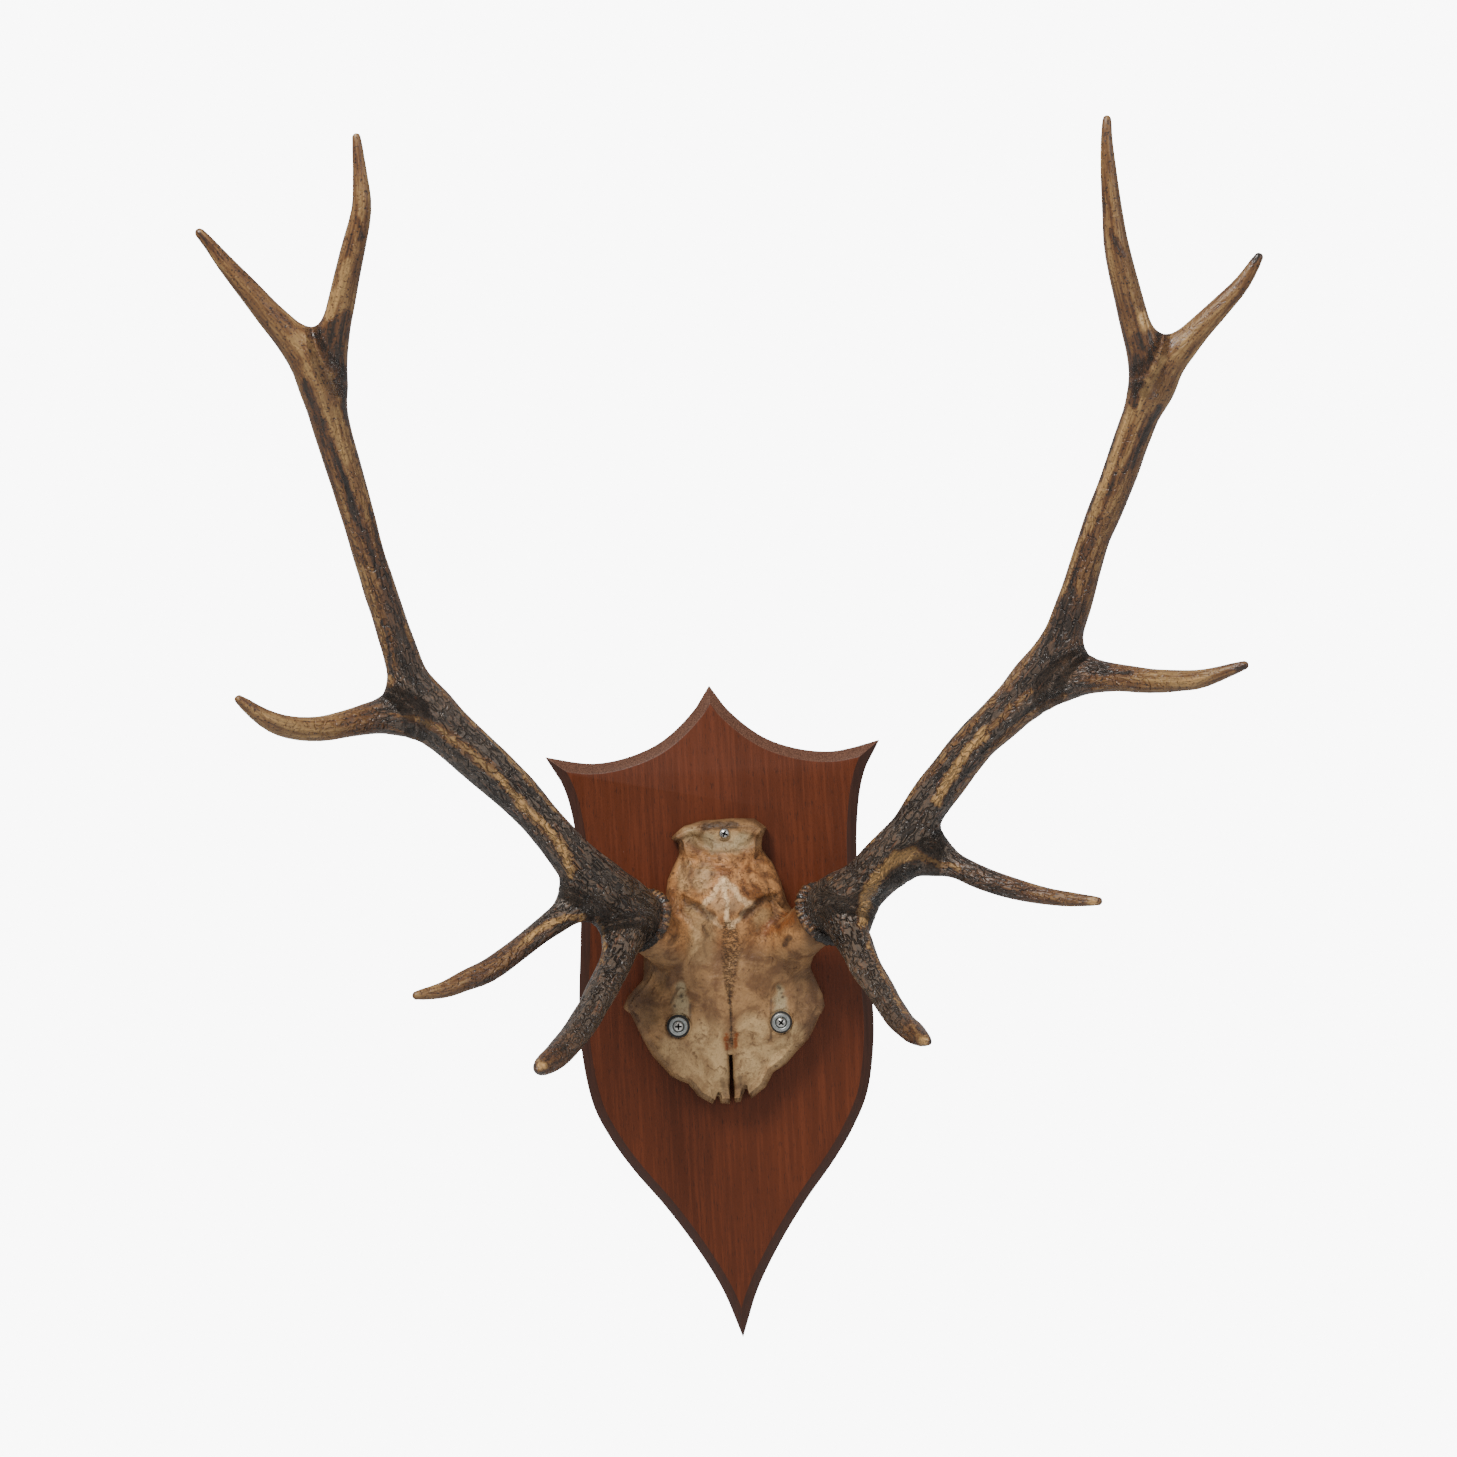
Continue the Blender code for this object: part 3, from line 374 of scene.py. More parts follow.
# Marks on the skull plate by kind: strength, width and points of the stroke, both in photograph pixels.
# For relief the strength is its height in millimetres, and hollows are negative.
SKULL_STROKES = {
    "warm": [
        (1.0, 60, [(690, 880), (725, 875), (760, 880)]),
        (0.65, 44, [(680, 930), (700, 925), (755, 925), (785, 925)]),
        (0.4, 24, [(680, 838), (765, 838)]),
    ],
    "pale": [
        (0.8, 26, [(702, 928), (702, 950)]),
        (0.9, 40, [(708, 1040), (712, 1060), (712, 1080)]),
        (0.9, 32, [(753, 1030), (752, 1050), (750, 1075)]),
        (0.9, 26, [(790, 1035), (775, 1055)]),
        (0.7, 26, [(672, 1050), (690, 1068)]),
        (0.95, 16, [(692, 836), (702, 840), (745, 840)]),
        (0.6, 14, [(686, 866), (684, 884)]),
        (0.7, 20, [(703, 872), (700, 882)]),
        (0.3, 18, [(688, 868), (688, 884)]),
        (0.7, 14, [(690, 912), (696, 926)]),
        (0.6, 16, [(764, 916), (760, 922)]),
    ],
    "grey": [
        (0.15, 20, [(684, 833), (713, 832), (742, 834), (762, 834)]),
        (0.7, 12, [(708, 838), (714, 848), (736, 848), (742, 838)]),
        (1.0, 9, [(680, 986), (681, 996)]),
        (1.0, 15, [(681, 1002), (682, 1020)]),
        (1.0, 7, [(780, 988), (780, 996)]),
        (1.0, 13, [(780, 1000), (780, 1015)]),
    ],
    "dark": [
        (0.95, 8, [(706, 827), (716, 825), (735, 825)]),
        (0.6, 4, [(672, 842), (684, 838)]),
        (0.5, 5, [(676, 838), (680, 848)]),
        (0.5, 5, [(764, 832), (762, 846)]),
        (0.35, 7, [(690, 840), (700, 850), (712, 858)]),
        (0.35, 6, [(757, 842), (746, 852), (736, 858)]),
        (0.45, 3, [(702, 849), (714, 854), (726, 858), (738, 856)]),
        (0.4, 4, [(684, 862), (677, 885), (679, 905)]),
        (0.4, 4, [(757, 862), (768, 885), (774, 900)]),
        (0.14, 9, [(719, 899), (718, 910)]),
        (0.14, 9, [(733, 899), (734, 910)]),
        (0.6, 5, [(676, 849), (679, 857)]),
        (0.5, 5, [(763, 849), (761, 859)]),
        (0.4, 3, [(684, 834), (694, 842), (702, 852)]),
        (0.2, 3, [(690, 830), (702, 836), (710, 846)]),
        (0.4, 3, [(752, 836), (746, 846), (740, 852)]),
        (0.5, 3, [(706, 850), (716, 853), (728, 852), (738, 850)]),
        # Painted shade in the creases between the swellings, along the carved hollows
        (0.88, 9, [(685, 902), (697, 907), (706, 914), (712, 917)]),
        (0.88, 9, [(773, 898), (762, 901), (751, 911), (744, 915)]),
        (0.6, 3, [(703, 925), (708, 935)]),
        (0.55, 7, [(776, 905), (772, 920), (778, 926)]),
        (0.95, 7, [(789, 938), (785, 944)]),
        (0.85, 6, [(780, 914), (776, 920), (778, 926)]),
        (0.70, 7, [(675, 937), (671, 943)]),
        (0.35, 16, [(668, 955), (676, 968)]),
        (0.15, 40, [(765, 955), (785, 975)]),
        # Painted shade over the orbit hollows
        (0.62, 24, [(641, 995), (646, 1018)]),
        (0.45, 30, [(806, 985), (808, 1020)]),
        (0.22, 26, [(700, 990), (706, 1010)]),
        # Painted shade round the feet of the pedicles
        (0.75, 14, [(660, 905), (660, 930)]),
        (0.60, 14, [(804, 908), (800, 925)]),
        (0.45, 14, [(655, 960), (665, 985)]),
        (0.55, 16, [(634, 1003), (640, 1022)]),
        (0.40, 12, [(648, 1045), (664, 1068)]),
        (0.35, 12, [(818, 1000), (812, 1032)]),
        (0.40, 10, [(800, 1050), (784, 1065)]),
        # Small holes drawn as dark dots, painted shade in place of their depth, then thin dark lines of
        # painted shade along the grooves below them
        (1.0, 5, [(681, 996)]),
        (1.0, 3, [(674.5, 1006)]),
        (0.8, 2.5, [(682, 1001)]),
        (1.0, 5, [(779.5, 988)]),
        (1.0, 3, [(783, 997)]),
        (0.8, 2.5, [(782, 993)]),
        (0.6, 2.5, [(671, 1003), (677, 988)]),
        (0.6, 2.5, [(690, 1005), (690, 1030)]),
        (0.7, 2.5, [(771, 1000), (771, 1038)]),
        (0.8, 4, [(719, 857), (720, 860)]),
        (0.6, 4, [(723, 865), (724, 867)]),
        (0.5, 5, [(712, 872), (715, 876)]),
        (0.6, 3, [(743, 887), (748, 894)]),
        (0.5, 4, [(733, 862), (739, 868)]),
        (0.45, 4, [(756, 858), (760, 862)]),
        (0.45, 3, [(686, 860), (692, 868), (688, 878), (694, 888)]),
        (0.45, 3, [(698, 852), (702, 864), (698, 874)]),
        (0.40, 3, [(684, 890), (694, 896), (706, 893), (712, 888)]),
        (0.40, 3, [(750, 862), (748, 878), (757, 888), (768, 890)]),
        (0.35, 3, [(707, 932), (703, 944), (706, 956)]),
        (0.40, 3, [(744, 942), (741, 952), (738, 960)]),
        (0.9, 4, [(671, 877)]),
        (0.9, 3, [(674, 874)]),
        (0.8, 4, [(719, 859)]),
        (0.7, 3, [(712, 875)]),
        (0.7, 3, [(737, 877)]),
        (0.7, 3, [(771, 869)]),
        (0.55, 5, [(722, 1080), (726, 1095)]),
        (0.55, 5, [(740, 1078), (742, 1095)]),
        (0.40, 8, [(676, 1080), (690, 1086), (700, 1098)]),
        (0.40, 6, [(766, 1086), (752, 1094)]),
    ],
    "relief": [
        (1.4, 9, [(674, 838), (684, 832), (700, 830)]),
        (1.4, 9, [(764, 836), (755, 830), (742, 828)]),
        (-1.0, 12, [(700, 838), (712, 842)]),
        (1.0, 9, [(682, 848), (700, 853), (726, 856), (750, 851), (762, 845)]),
        (-1.2, 8, [(684, 860), (702, 864), (728, 866), (752, 860)]),
        (1.2, 8, [(678, 862), (670, 882), (670, 905)]),
        (1.2, 8, [(762, 858), (774, 880), (780, 903)]),
        (-1.6, 7, [(690, 836), (702, 844), (712, 853)]),
        (-1.4, 7, [(754, 838), (746, 846), (736, 853)]),
        (1.0, 6, [(700, 832), (712, 838), (718, 846)]),
        (0.9, 6, [(724, 882), (726, 900), (726, 922)]),
        (0.7, 6, [(724, 881), (713, 894), (703, 906)]),
        (0.7, 6, [(724, 881), (738, 894), (752, 905)]),
        (-1.6, 8, [(684, 900), (697, 906), (713, 918)]),
        (-1.6, 8, [(773, 897), (760, 902), (743, 917)]),
        (1.2, 26, [(684, 925), (700, 935)]),
        (1.2, 26, [(765, 925), (752, 935)]),
        (1.3, 8, [(630, 1008), (640, 990), (652, 972)]),
        (1.3, 8, [(812, 975), (820, 995), (822, 1010)]),
        (-1.2, 10, [(664, 975), (652, 995), (655, 1015)]),
        (-1.2, 10, [(797, 975), (804, 995), (800, 1015)]),
        (-1.6, 13, [(680, 988), (681, 1004), (682, 1018)]),
        (-1.6, 12, [(780, 990), (780, 1000), (780, 1012)]),
        (-0.9, 6, [(690, 1000), (692, 1035)]),
        (-0.9, 6, [(770, 998), (770, 1042)]),
        (0.8, 26, [(712, 960), (716, 1000)]),
        (0.8, 26, [(744, 960), (742, 1000)]),
        (-0.8, 7, [(728, 925), (729, 960), (730, 1000)]),
    ],
    "white": [
        (1.0, 4.5, [(724, 880), (725, 892), (727, 906), (726, 918)]),
        (0.75, 5.5, [(724, 881), (717, 888), (713, 897), (704, 905)]),
        (0.75, 5.5, [(724, 881), (734, 888), (738, 897), (747, 904), (754, 903)]),
        (0.7, 4, [(701, 906), (707, 912), (711, 919), (716, 918)]),
        (0.8, 4, [(754, 904), (745, 909), (741, 918), (733, 924)]),
        (0.9, 6, [(728, 922), (732, 927)]),
        (0.45, 4, [(715, 922), (721, 927)]),
        (0.9, 10, [(724, 882), (725, 889)]),
        (0.28, 24, [(722, 900), (730, 900)]),
    ],
    "rust": [
        (0.7, 14, [(768, 928), (790, 918)]),
        (1.0, 5, [(726, 1036), (727, 1048)]),
        (1.0, 5, [(736, 1035), (735, 1047)]),
    ],
}

# The seam of the forehead in photograph pixels: its height, its middle and how wide it wanders there, and
# the nasal cleft below it
SEAM_CORE = 0.6
SEAM_EDGE = 1.1
SEAM = [(922, 728, 6), (932, 730, 9), (946, 731, 10.5), (958, 730, 10), (970, 730, 8), (985, 730, 5.5),
        (1000, 730, 2.4), (1020, 731, 1.2), (1045, 731.5, 1.6)]
CLEFT_TOP = (975, 1000)
CLEFT_FOOT = 1052
CLEFT_EDGE = (0.5, 1.6)


def linear(red, green, blue):
    """A colour given as a screen shows it, for a material."""
    parts = []
    for part in (red, green, blue):
        share = part / 255
        parts.append(share / 12.92 if share < 0.04045 else ((share + 0.055) / 1.055) ** 2.4)
    return tuple(parts)


class AntlerSizes(bpy.types.PropertyGroup):
    antler_skin: bpy.props.FloatProperty(
        name="Antler skin", description="Size of the faces of the antlers", default=0.00155, min=0.001,
        unit="LENGTH")
    skull_skin: bpy.props.FloatProperty(
        name="Skull skin", description="Size of the faces of the skull plate", default=0.0010, min=0.0008,
        unit="LENGTH")
    groove_depth: bpy.props.FloatProperty(
        name="Groove depth", description="Depth of the lengthwise grooves near the coronets",
        default=0.0011, unit="LENGTH")
    lump_height: bpy.props.FloatProperty(
        name="Lump height", description="Height of the slow swellings along the beams", default=0.0007,
        unit="LENGTH")
    dark_colour: bpy.props.FloatVectorProperty(
        name="Dark antler", description="Colour in the grooves and near the coronets", subtype="COLOR",
        default=linear(54, 44, 37))
    tan_colour: bpy.props.FloatVectorProperty(
        name="Tan antler", description="Colour of the ridges", subtype="COLOR",
        default=linear(148, 116, 72))
    tip_colour: bpy.props.FloatVectorProperty(
        name="Ivory tip", description="Colour of the polished tips", subtype="COLOR",
        default=linear(222, 202, 162))
    bone_colour: bpy.props.FloatVectorProperty(
        name="Skull bone", description="Main colour of the skull plate", subtype="COLOR",
        default=linear(190, 158, 112))


class ShieldSizes(bpy.types.PropertyGroup):
    edge_softness: bpy.props.FloatProperty(
        name="Edge softness", description="Width of the softened edges of the wood", default=0.0005,
        unit="LENGTH")
    wood_colour: bpy.props.FloatVectorProperty(
        name="Stained wood", description="Colour of the shield's face", subtype="COLOR",
        default=linear(91, 41, 17))
    # The side and lower chamfers painted darker than the face: the wood's colour with painted shade
    shaded_chamfer_colour: bpy.props.FloatVectorProperty(
        name="Chamfer", description="Colour of the lower and side chamfers", subtype="COLOR",
        default=linear(66, 35, 22))


class ScrewSizes(bpy.types.PropertyGroup):
    recess_width: bpy.props.FloatProperty(
        name="Recess width", description="Width of each slot of the cross recess", default=0.0012,
        unit="LENGTH")
    recess_length: bpy.props.FloatProperty(
        name="Recess length", description="Length of each slot of the cross recess", default=0.0052,
        unit="LENGTH")
    metal_colour: bpy.props.FloatVectorProperty(
        name="Screw metal", description="Colour of the screws", subtype="COLOR",
        default=linear(205, 203, 198))


def put(tree, kind, feeds=(), **values):
    """Adds a node, sets its choices, and sets or links its inputs."""
    node = tree.nodes.new(kind)
    for name, value in values.items():
        setattr(node, name, value)
    for socket, value in dict(feeds).items():
        into = node.inputs[socket]
        if isinstance(value, bpy.types.NodeSocket):
            tree.links.new(value, into)
        else:
            into.default_value = value
    return node


def reckon(tree, operation, first, second=0.0, clamp=False):
    return put(tree, "ShaderNodeMath", {0: first, 1: second}, operation=operation, use_clamp=clamp).outputs[0]


def times(tree, first, second):
    return reckon(tree, "MULTIPLY", first, second)


def plus(tree, first, second):
    return reckon(tree, "ADD", first, second)


def less(tree, first, second):
    return reckon(tree, "SUBTRACT", first, second)


def off_middle(tree, cloud):
    """How far a noise is from its middle value, 0 along the lines where it crosses that."""
    return reckon(tree, "ABSOLUTE", less(tree, cloud, 0.5))


def full(colour):
    return (*colour[:3], 1.0)


def mixed(tree, share, first, second):
    """Mixes two colours, each of them another node's or one of three parts."""
    ends = [end if isinstance(end, bpy.types.NodeSocket) else full(end) for end in (first, second)]
    return put(tree, "ShaderNodeMix", {0: share, 6: ends[0], 7: ends[1]}, data_type="RGBA").outputs[2]


def shaded(colour, share):
    """The colour made darker, or lighter with a share above 1."""
    return tuple(share * part for part in colour)


def object_places(tree):
    return put(tree, "ShaderNodeTexCoord").outputs["Object"]


def clouds(tree, place, scale, detail, roughness=0.5, distortion=0.0):
    return put(tree, "ShaderNodeTexNoise", {"Vector": place, "Scale": scale, "Detail": detail,
                                            "Roughness": roughness, "Distortion": distortion}).outputs[0]


def stretched(tree, vector, along, across, detail):
    return use_group(tree, streaks_group(), {"Vector": vector, "Along": along, "Across": across,
                                             "Detail": detail}, "Value")


def scaled(tree, vector, share):
    return put(tree, "ShaderNodeVectorMath", {0: vector, 1: share}, operation="MULTIPLY").outputs[0]


def ranged(tree, value, low, high, start=0.0, end=1.0):
    return put(tree, "ShaderNodeMapRange", {0: value, 1: low, 2: high, 3: start, 4: end},
               interpolation_type="SMOOTHSTEP").outputs[0]


def ramp(tree, share, stops):
    node = put(tree, "ShaderNodeValToRGB", {0: share})
    marks = node.color_ramp.elements
    while len(marks) < len(stops):
        marks.new(0.5)
    for mark, (place, colour) in zip(marks, stops):
        mark.position = place
        mark.color = full(colour)
    return node.outputs[0]


def group(name, inputs, outputs):
    """An empty node group with named sockets."""
    made = bpy.data.node_groups.new(name, "ShaderNodeTree")
    for label, kind in inputs:
        made.interface.new_socket(label, in_out="INPUT", socket_type=kind)
    for label, kind in outputs:
        made.interface.new_socket(label, in_out="OUTPUT", socket_type=kind)
    return made, made.nodes.new("NodeGroupInput"), made.nodes.new("NodeGroupOutput")


def streaks_group():
    """Noise stretched along the first axis of a vector."""
    if "Streaks" in bpy.data.node_groups:
        return bpy.data.node_groups["Streaks"]
    made, given, result = group(
        "Streaks",
        [("Vector", "NodeSocketVector"), ("Along", "NodeSocketFloat"), ("Across", "NodeSocketFloat"),
         ("Detail", "NodeSocketFloat")],
        [("Value", "NodeSocketFloat")])
    size = put(made, "ShaderNodeCombineXYZ", {0: given.outputs["Along"], 1: given.outputs["Across"],
                                              2: given.outputs["Across"]})
    place = scaled(made, given.outputs["Vector"], size.outputs[0])
    fine = clouds(made, place, 1.0, given.outputs["Detail"], 0.6)
    made.links.new(fine, result.inputs["Value"])
    return made


def pearls_group():
    """Small worm-like ridges: the height is 1 on a ridge and 0 in the gaps between."""
    if "Pearling" in bpy.data.node_groups:
        return bpy.data.node_groups["Pearling"]
    made, given, result = group(
        "Pearling", [("Vector", "NodeSocketVector"), ("Scale", "NodeSocketFloat")],
        [("Height", "NodeSocketFloat")])
    wave = clouds(made, given.outputs["Vector"], given.outputs["Scale"], 1.5, 0.5, 0.6)
    made.links.new(ranged(made, off_middle(made, wave), 0.0, 0.12, 1.0, 0.0), result.inputs["Height"])
    return made


def use_group(tree, made, feeds, output):
    return put(tree, "ShaderNodeGroup", feeds, node_tree=made).outputs[output]


def new_material(name):
    made = bpy.data.materials.new(name)
    made.use_nodes = True
    tree = made.node_tree
    return made, tree, tree.nodes["Principled BSDF"]


def attribute(tree, name, output="Fac"):
    return put(tree, "ShaderNodeAttribute", attribute_name=name).outputs[output]


def dress(tree, shader, colour, roughness, height, distance):
    """Feeds the shader its colour, its roughness and a relief of this depth in metres."""
    bump = put(tree, "ShaderNodeBump", {"Height": height, "Distance": distance})
    tree.links.new(colour, shader.inputs["Base Color"])
    tree.links.new(roughness, shader.inputs["Roughness"])
    tree.links.new(bump.outputs[0], shader.inputs["Normal"])


def antler_material(sizes):
    if "Antler" in bpy.data.materials:
        return bpy.data.materials["Antler"]
    made, tree, shader = new_material("Antler")
    tone = attribute(tree, "tone")
    wrinkle = attribute(tree, "wrinkle")
    plain = attribute(tree, "plain")
    flow = attribute(tree, "flow", "Vector")
    place = object_places(tree)
    mottle = clouds(tree, place, 190.0, 4.0)
    speck = clouds(tree, place, 620.0, 2.0)
    fine = stretched(tree, flow, 60.0, 620.0, 3.0)
    broad = stretched(tree, flow, 11.0, 300.0, 3.0)
    broad = plus(tree, times(tree, broad, less(tree, 1.0, plain)), times(tree, mottle, plain))
    lie = put(tree, "ShaderNodeMix", {0: plain, 4: scaled(tree, flow, (0.54, 1.0, 1.0)), 5: place},
              data_type="VECTOR").outputs[1]
    pearl = use_group(tree, pearls_group(), {"Vector": lie, "Scale": 222.0}, "Height")

    lines = times(tree, less(tree, broad, 0.5), ranged(tree, wrinkle, 0.2, 0.8, 0.75, 0.28))
    hairs = times(tree, less(tree, fine, 0.5), 0.35)
    specks = times(tree, ranged(tree, speck, 0.57, 0.68), -0.26)
    beads = times(tree, less(tree, 0.4, pearl), times(tree, wrinkle, 0.22))
    shade = plus(tree, plus(tree, lines, hairs), plus(tree, specks, beads))
    light = reckon(tree, "ADD", tone, shade, clamp=True)
    colour = ramp(tree, light, [
        (0.04, shaded(sizes.dark_colour, 0.35)),
        (0.17, sizes.dark_colour),
        (0.28, linear(86, 55, 34)),
        (0.40, linear(116, 82, 48)),
        (0.54, sizes.tan_colour),
        (0.74, linear(194, 148, 90)),
        (0.96, sizes.tip_colour),
    ])
    ashen = ramp(tree, light, [
        (0.02, shaded(sizes.dark_colour, 0.25)),
        (0.12, sizes.dark_colour),
        (0.28, linear(88, 76, 65)),
        (0.46, linear(118, 88, 64)),
    ])
    crusted = times(tree, ranged(tree, wrinkle, 0.35, 0.75), ranged(tree, tone, 0.27, 0.34, 1.0, 0.0))
    colour = mixed(tree, crusted, colour, ashen)
    dashes = times(tree, ranged(tree, fine, 0.60, 0.70), times(tree, crusted, 0.65))
    colour = mixed(tree, dashes, colour, linear(124, 74, 46))
    roughness = less(tree, ranged(tree, light, 0.1, 0.6, 0.24, 0.46), times(tree, specks, 0.5))

    furrows = times(tree, broad, plus(tree, times(tree, wrinkle, 0.7), 0.15))
    hair_relief = times(tree, fine, plus(tree, times(tree, wrinkle, 0.4), 0.15))
    worms = times(tree, pearl, times(tree, wrinkle, 1.1))
    height = less(tree, plus(tree, furrows, hair_relief), worms)
    dress(tree, shader, colour, roughness, height, 0.0019)
    return made


def skull_material(sizes):
    if "Skull bone" in bpy.data.materials:
        return bpy.data.materials["Skull bone"]
    made, tree, shader = new_material("Skull bone")
    place = object_places(tree)
    soft = clouds(tree, place, 48.0, 5.0, 0.65, 0.6)
    blotch = clouds(tree, place, 130.0, 4.0, 0.6, 1.2)
    fine = clouds(tree, place, 520.0, 4.0)
    warm, pale, grey, white, rust, dark, seam = [
        attribute(tree, name) for name in ("warm", "pale", "grey", "white", "rust", "dark", "seam")]

    plain = mixed(tree, ranged(tree, soft, 0.38, 0.62), linear(111, 78, 49), linear(157, 119, 78))
    orange = mixed(tree, ranged(tree, soft, 0.36, 0.60), linear(132, 82, 42), linear(198, 140, 86))
    colour = mixed(tree, warm, plain, orange)
    vein = ranged(tree, off_middle(tree, clouds(tree, place, 95.0, 2.0, 0.5, 1.6)), 0.0, 0.02, 1.0, 0.0)
    cream = mixed(tree, ranged(tree, soft, 0.36, 0.6), linear(148, 116, 78), sizes.bone_colour)
    squashed = scaled(tree, place, (1.0, 1.0, 2.6))
    off_stitch = off_middle(tree, clouds(tree, squashed, 210.0, 2.0, 0.5, 1.0))
    stitch = times(tree, seam, ranged(tree, off_stitch, 0.02, 0.08, 1.0, 0.0))
    washes = [
        (times(tree, vein, ranged(tree, warm, 0.2, 0.9, 0.12, 0.55)), linear(92, 58, 36)),
        (pale, cream),
        (times(tree, grey, ranged(tree, blotch, 0.3, 0.6, 0.6, 1.0)), linear(160, 142, 108)),
        (times(tree, white, ranged(tree, fine, 0.2, 0.45)), linear(248, 208, 158)),
        (times(tree, ranged(tree, blotch, 0.54, 0.70), 0.55), linear(98, 62, 38)),
        (times(tree, ranged(tree, fine, 0.52, 0.70), 0.40), linear(104, 74, 50)),
        (times(tree, rust, ranged(tree, fine, 0.3, 0.5)), linear(124, 64, 20)),
        (times(tree, stitch, 0.75), linear(66, 44, 27)),
        # The dark marks: the bone's own dark patches and pits, with painted shade in creases, orbit hollows,
        # small holes, round the pedicles and in the nasal cleft
        (times(tree, dark, ranged(tree, fine, 0.25, 0.6, 1.0, 0.75)), linear(44, 28, 20)),
    ]
    for share, wash in washes:
        colour = mixed(tree, share, colour, wash)
    shader.inputs["Specular IOR Level"].default_value = 0.35

    hollow = ranged(tree, blotch, 0.62, 0.72, 0.0, -0.8)
    cracks = plus(tree, stitch, times(tree, vein, ranged(tree, warm, 0.2, 0.9, 0.1, 0.6)))
    height = plus(tree, times(tree, fine, 0.7), times(tree, blotch, 1.4))
    height = less(tree, plus(tree, height, hollow), cracks)
    dress(tree, shader, colour, ranged(tree, fine, 0.3, 0.7, 0.40, 0.60), height, 0.0008)
    return made


def wood_material(sizes):
    made, tree, shader = new_material("Stained wood")
    place = object_places(tree)
    cut = attribute(tree, "cut")
    upright = put(tree, "ShaderNodeVectorRotate", {"Vector": place, "Angle": math.pi / 2},
                  rotation_type="Y_AXIS").outputs[0]
    broad = stretched(tree, upright, 4.0, 30.0, 3.0)
    grain = stretched(tree, upright, 16.0, 420.0, 4.0)
    pores = stretched(tree, upright, 110.0, 1200.0, 2.0)
    hatch = clouds(tree, place, 1100.0, 3.0)
    wood, edge = sizes.wood_colour, sizes.shaded_chamfer_colour
    face = mixed(tree, ranged(tree, broad, 0.3, 0.7), shaded(wood, 0.84), shaded(wood, 1.12))
    face = mixed(tree, times(tree, ranged(tree, grain, 0.46, 0.66), 0.6), face, shaded(wood, 1.45))
    face = mixed(tree, times(tree, ranged(tree, pores, 0.58, 0.68), 0.7), face, linear(46, 21, 11))
    # Side and lower chamfers painted darker as shaded; the top chamfer painted lighter as lit, over its
    # end-grain hatching
    side = mixed(tree, ranged(tree, grain, 0.35, 0.65), shaded(edge, 0.8), shaded(edge, 1.15))
    top = mixed(tree, ranged(tree, hatch, 0.35, 0.65), linear(74, 44, 31), linear(112, 76, 58))
    colour = mixed(tree, ranged(tree, cut, 0.2, 0.4), face, side)
    colour = mixed(tree, ranged(tree, cut, 0.6, 0.8), colour, top)
    shader.inputs["Specular IOR Level"].default_value = 0.3
    dress(tree, shader, colour, ranged(tree, grain, 0.3, 0.7, 0.38, 0.5), less(tree, grain, pores), 0.00015)
    return made


def metal_material(name, colour, roughness, scratches):
    made, tree, shader = new_material(name)
    shader.inputs["Metallic"].default_value = 1.0
    worn = clouds(tree, object_places(tree), 1400.0, 4.0)
    tint = mixed(tree, ranged(tree, worn, 0.35, 0.7), shaded(colour, 0.7), colour)
    # The cross recess painted near black: painted shade
    tint = mixed(tree, attribute(tree, "recess"), tint, linear(22, 21, 20))
    dress(tree, shader, tint, ranged(tree, worn, 0.3, 0.7, roughness, roughness + 0.2), worn, scratches)
    return made


def rubber_material():
    made, tree, shader = new_material("Black rubber")
    dust = clouds(tree, object_places(tree), 900.0, 4.0)
    tint = mixed(tree, ranged(tree, dust, 0.5, 0.8), linear(20, 19, 18), linear(52, 48, 44))
    dress(tree, shader, tint, ranged(tree, dust, 0.3, 0.7, 0.5, 0.7), dust, 0.0001)
    return made


def smooth_path(points, steps):
    """The points with a smooth curve read between them, steps to each stretch."""
    points = np.asarray(points, float)
    ends = np.vstack([2 * points[0] - points[1], points, 2 * points[-1] - points[-2]])
    path = []
    for before, start, end, after in zip(ends, ends[1:], ends[2:], ends[3:]):
        for t in np.arange(steps) / steps:
            bend = 2 * before - 5 * start + 4 * end - after
            twist = 3 * start - 3 * end + after - before
            path.append(start + 0.5 * t * ((end - before) + t * (bend + t * twist)))
    path.append(points[-1])
    return np.array(path)


def real(points):
    """Drawn points of the skull or an antler, across, out and up, at their real places."""
    points = np.atleast_2d(np.asarray(points, float))
    return points[:, :3] * (MILLIMETRE, -MILLIMETRE, MILLIMETRE) + (SKULL_ASIDE, 0.0, 0.0)


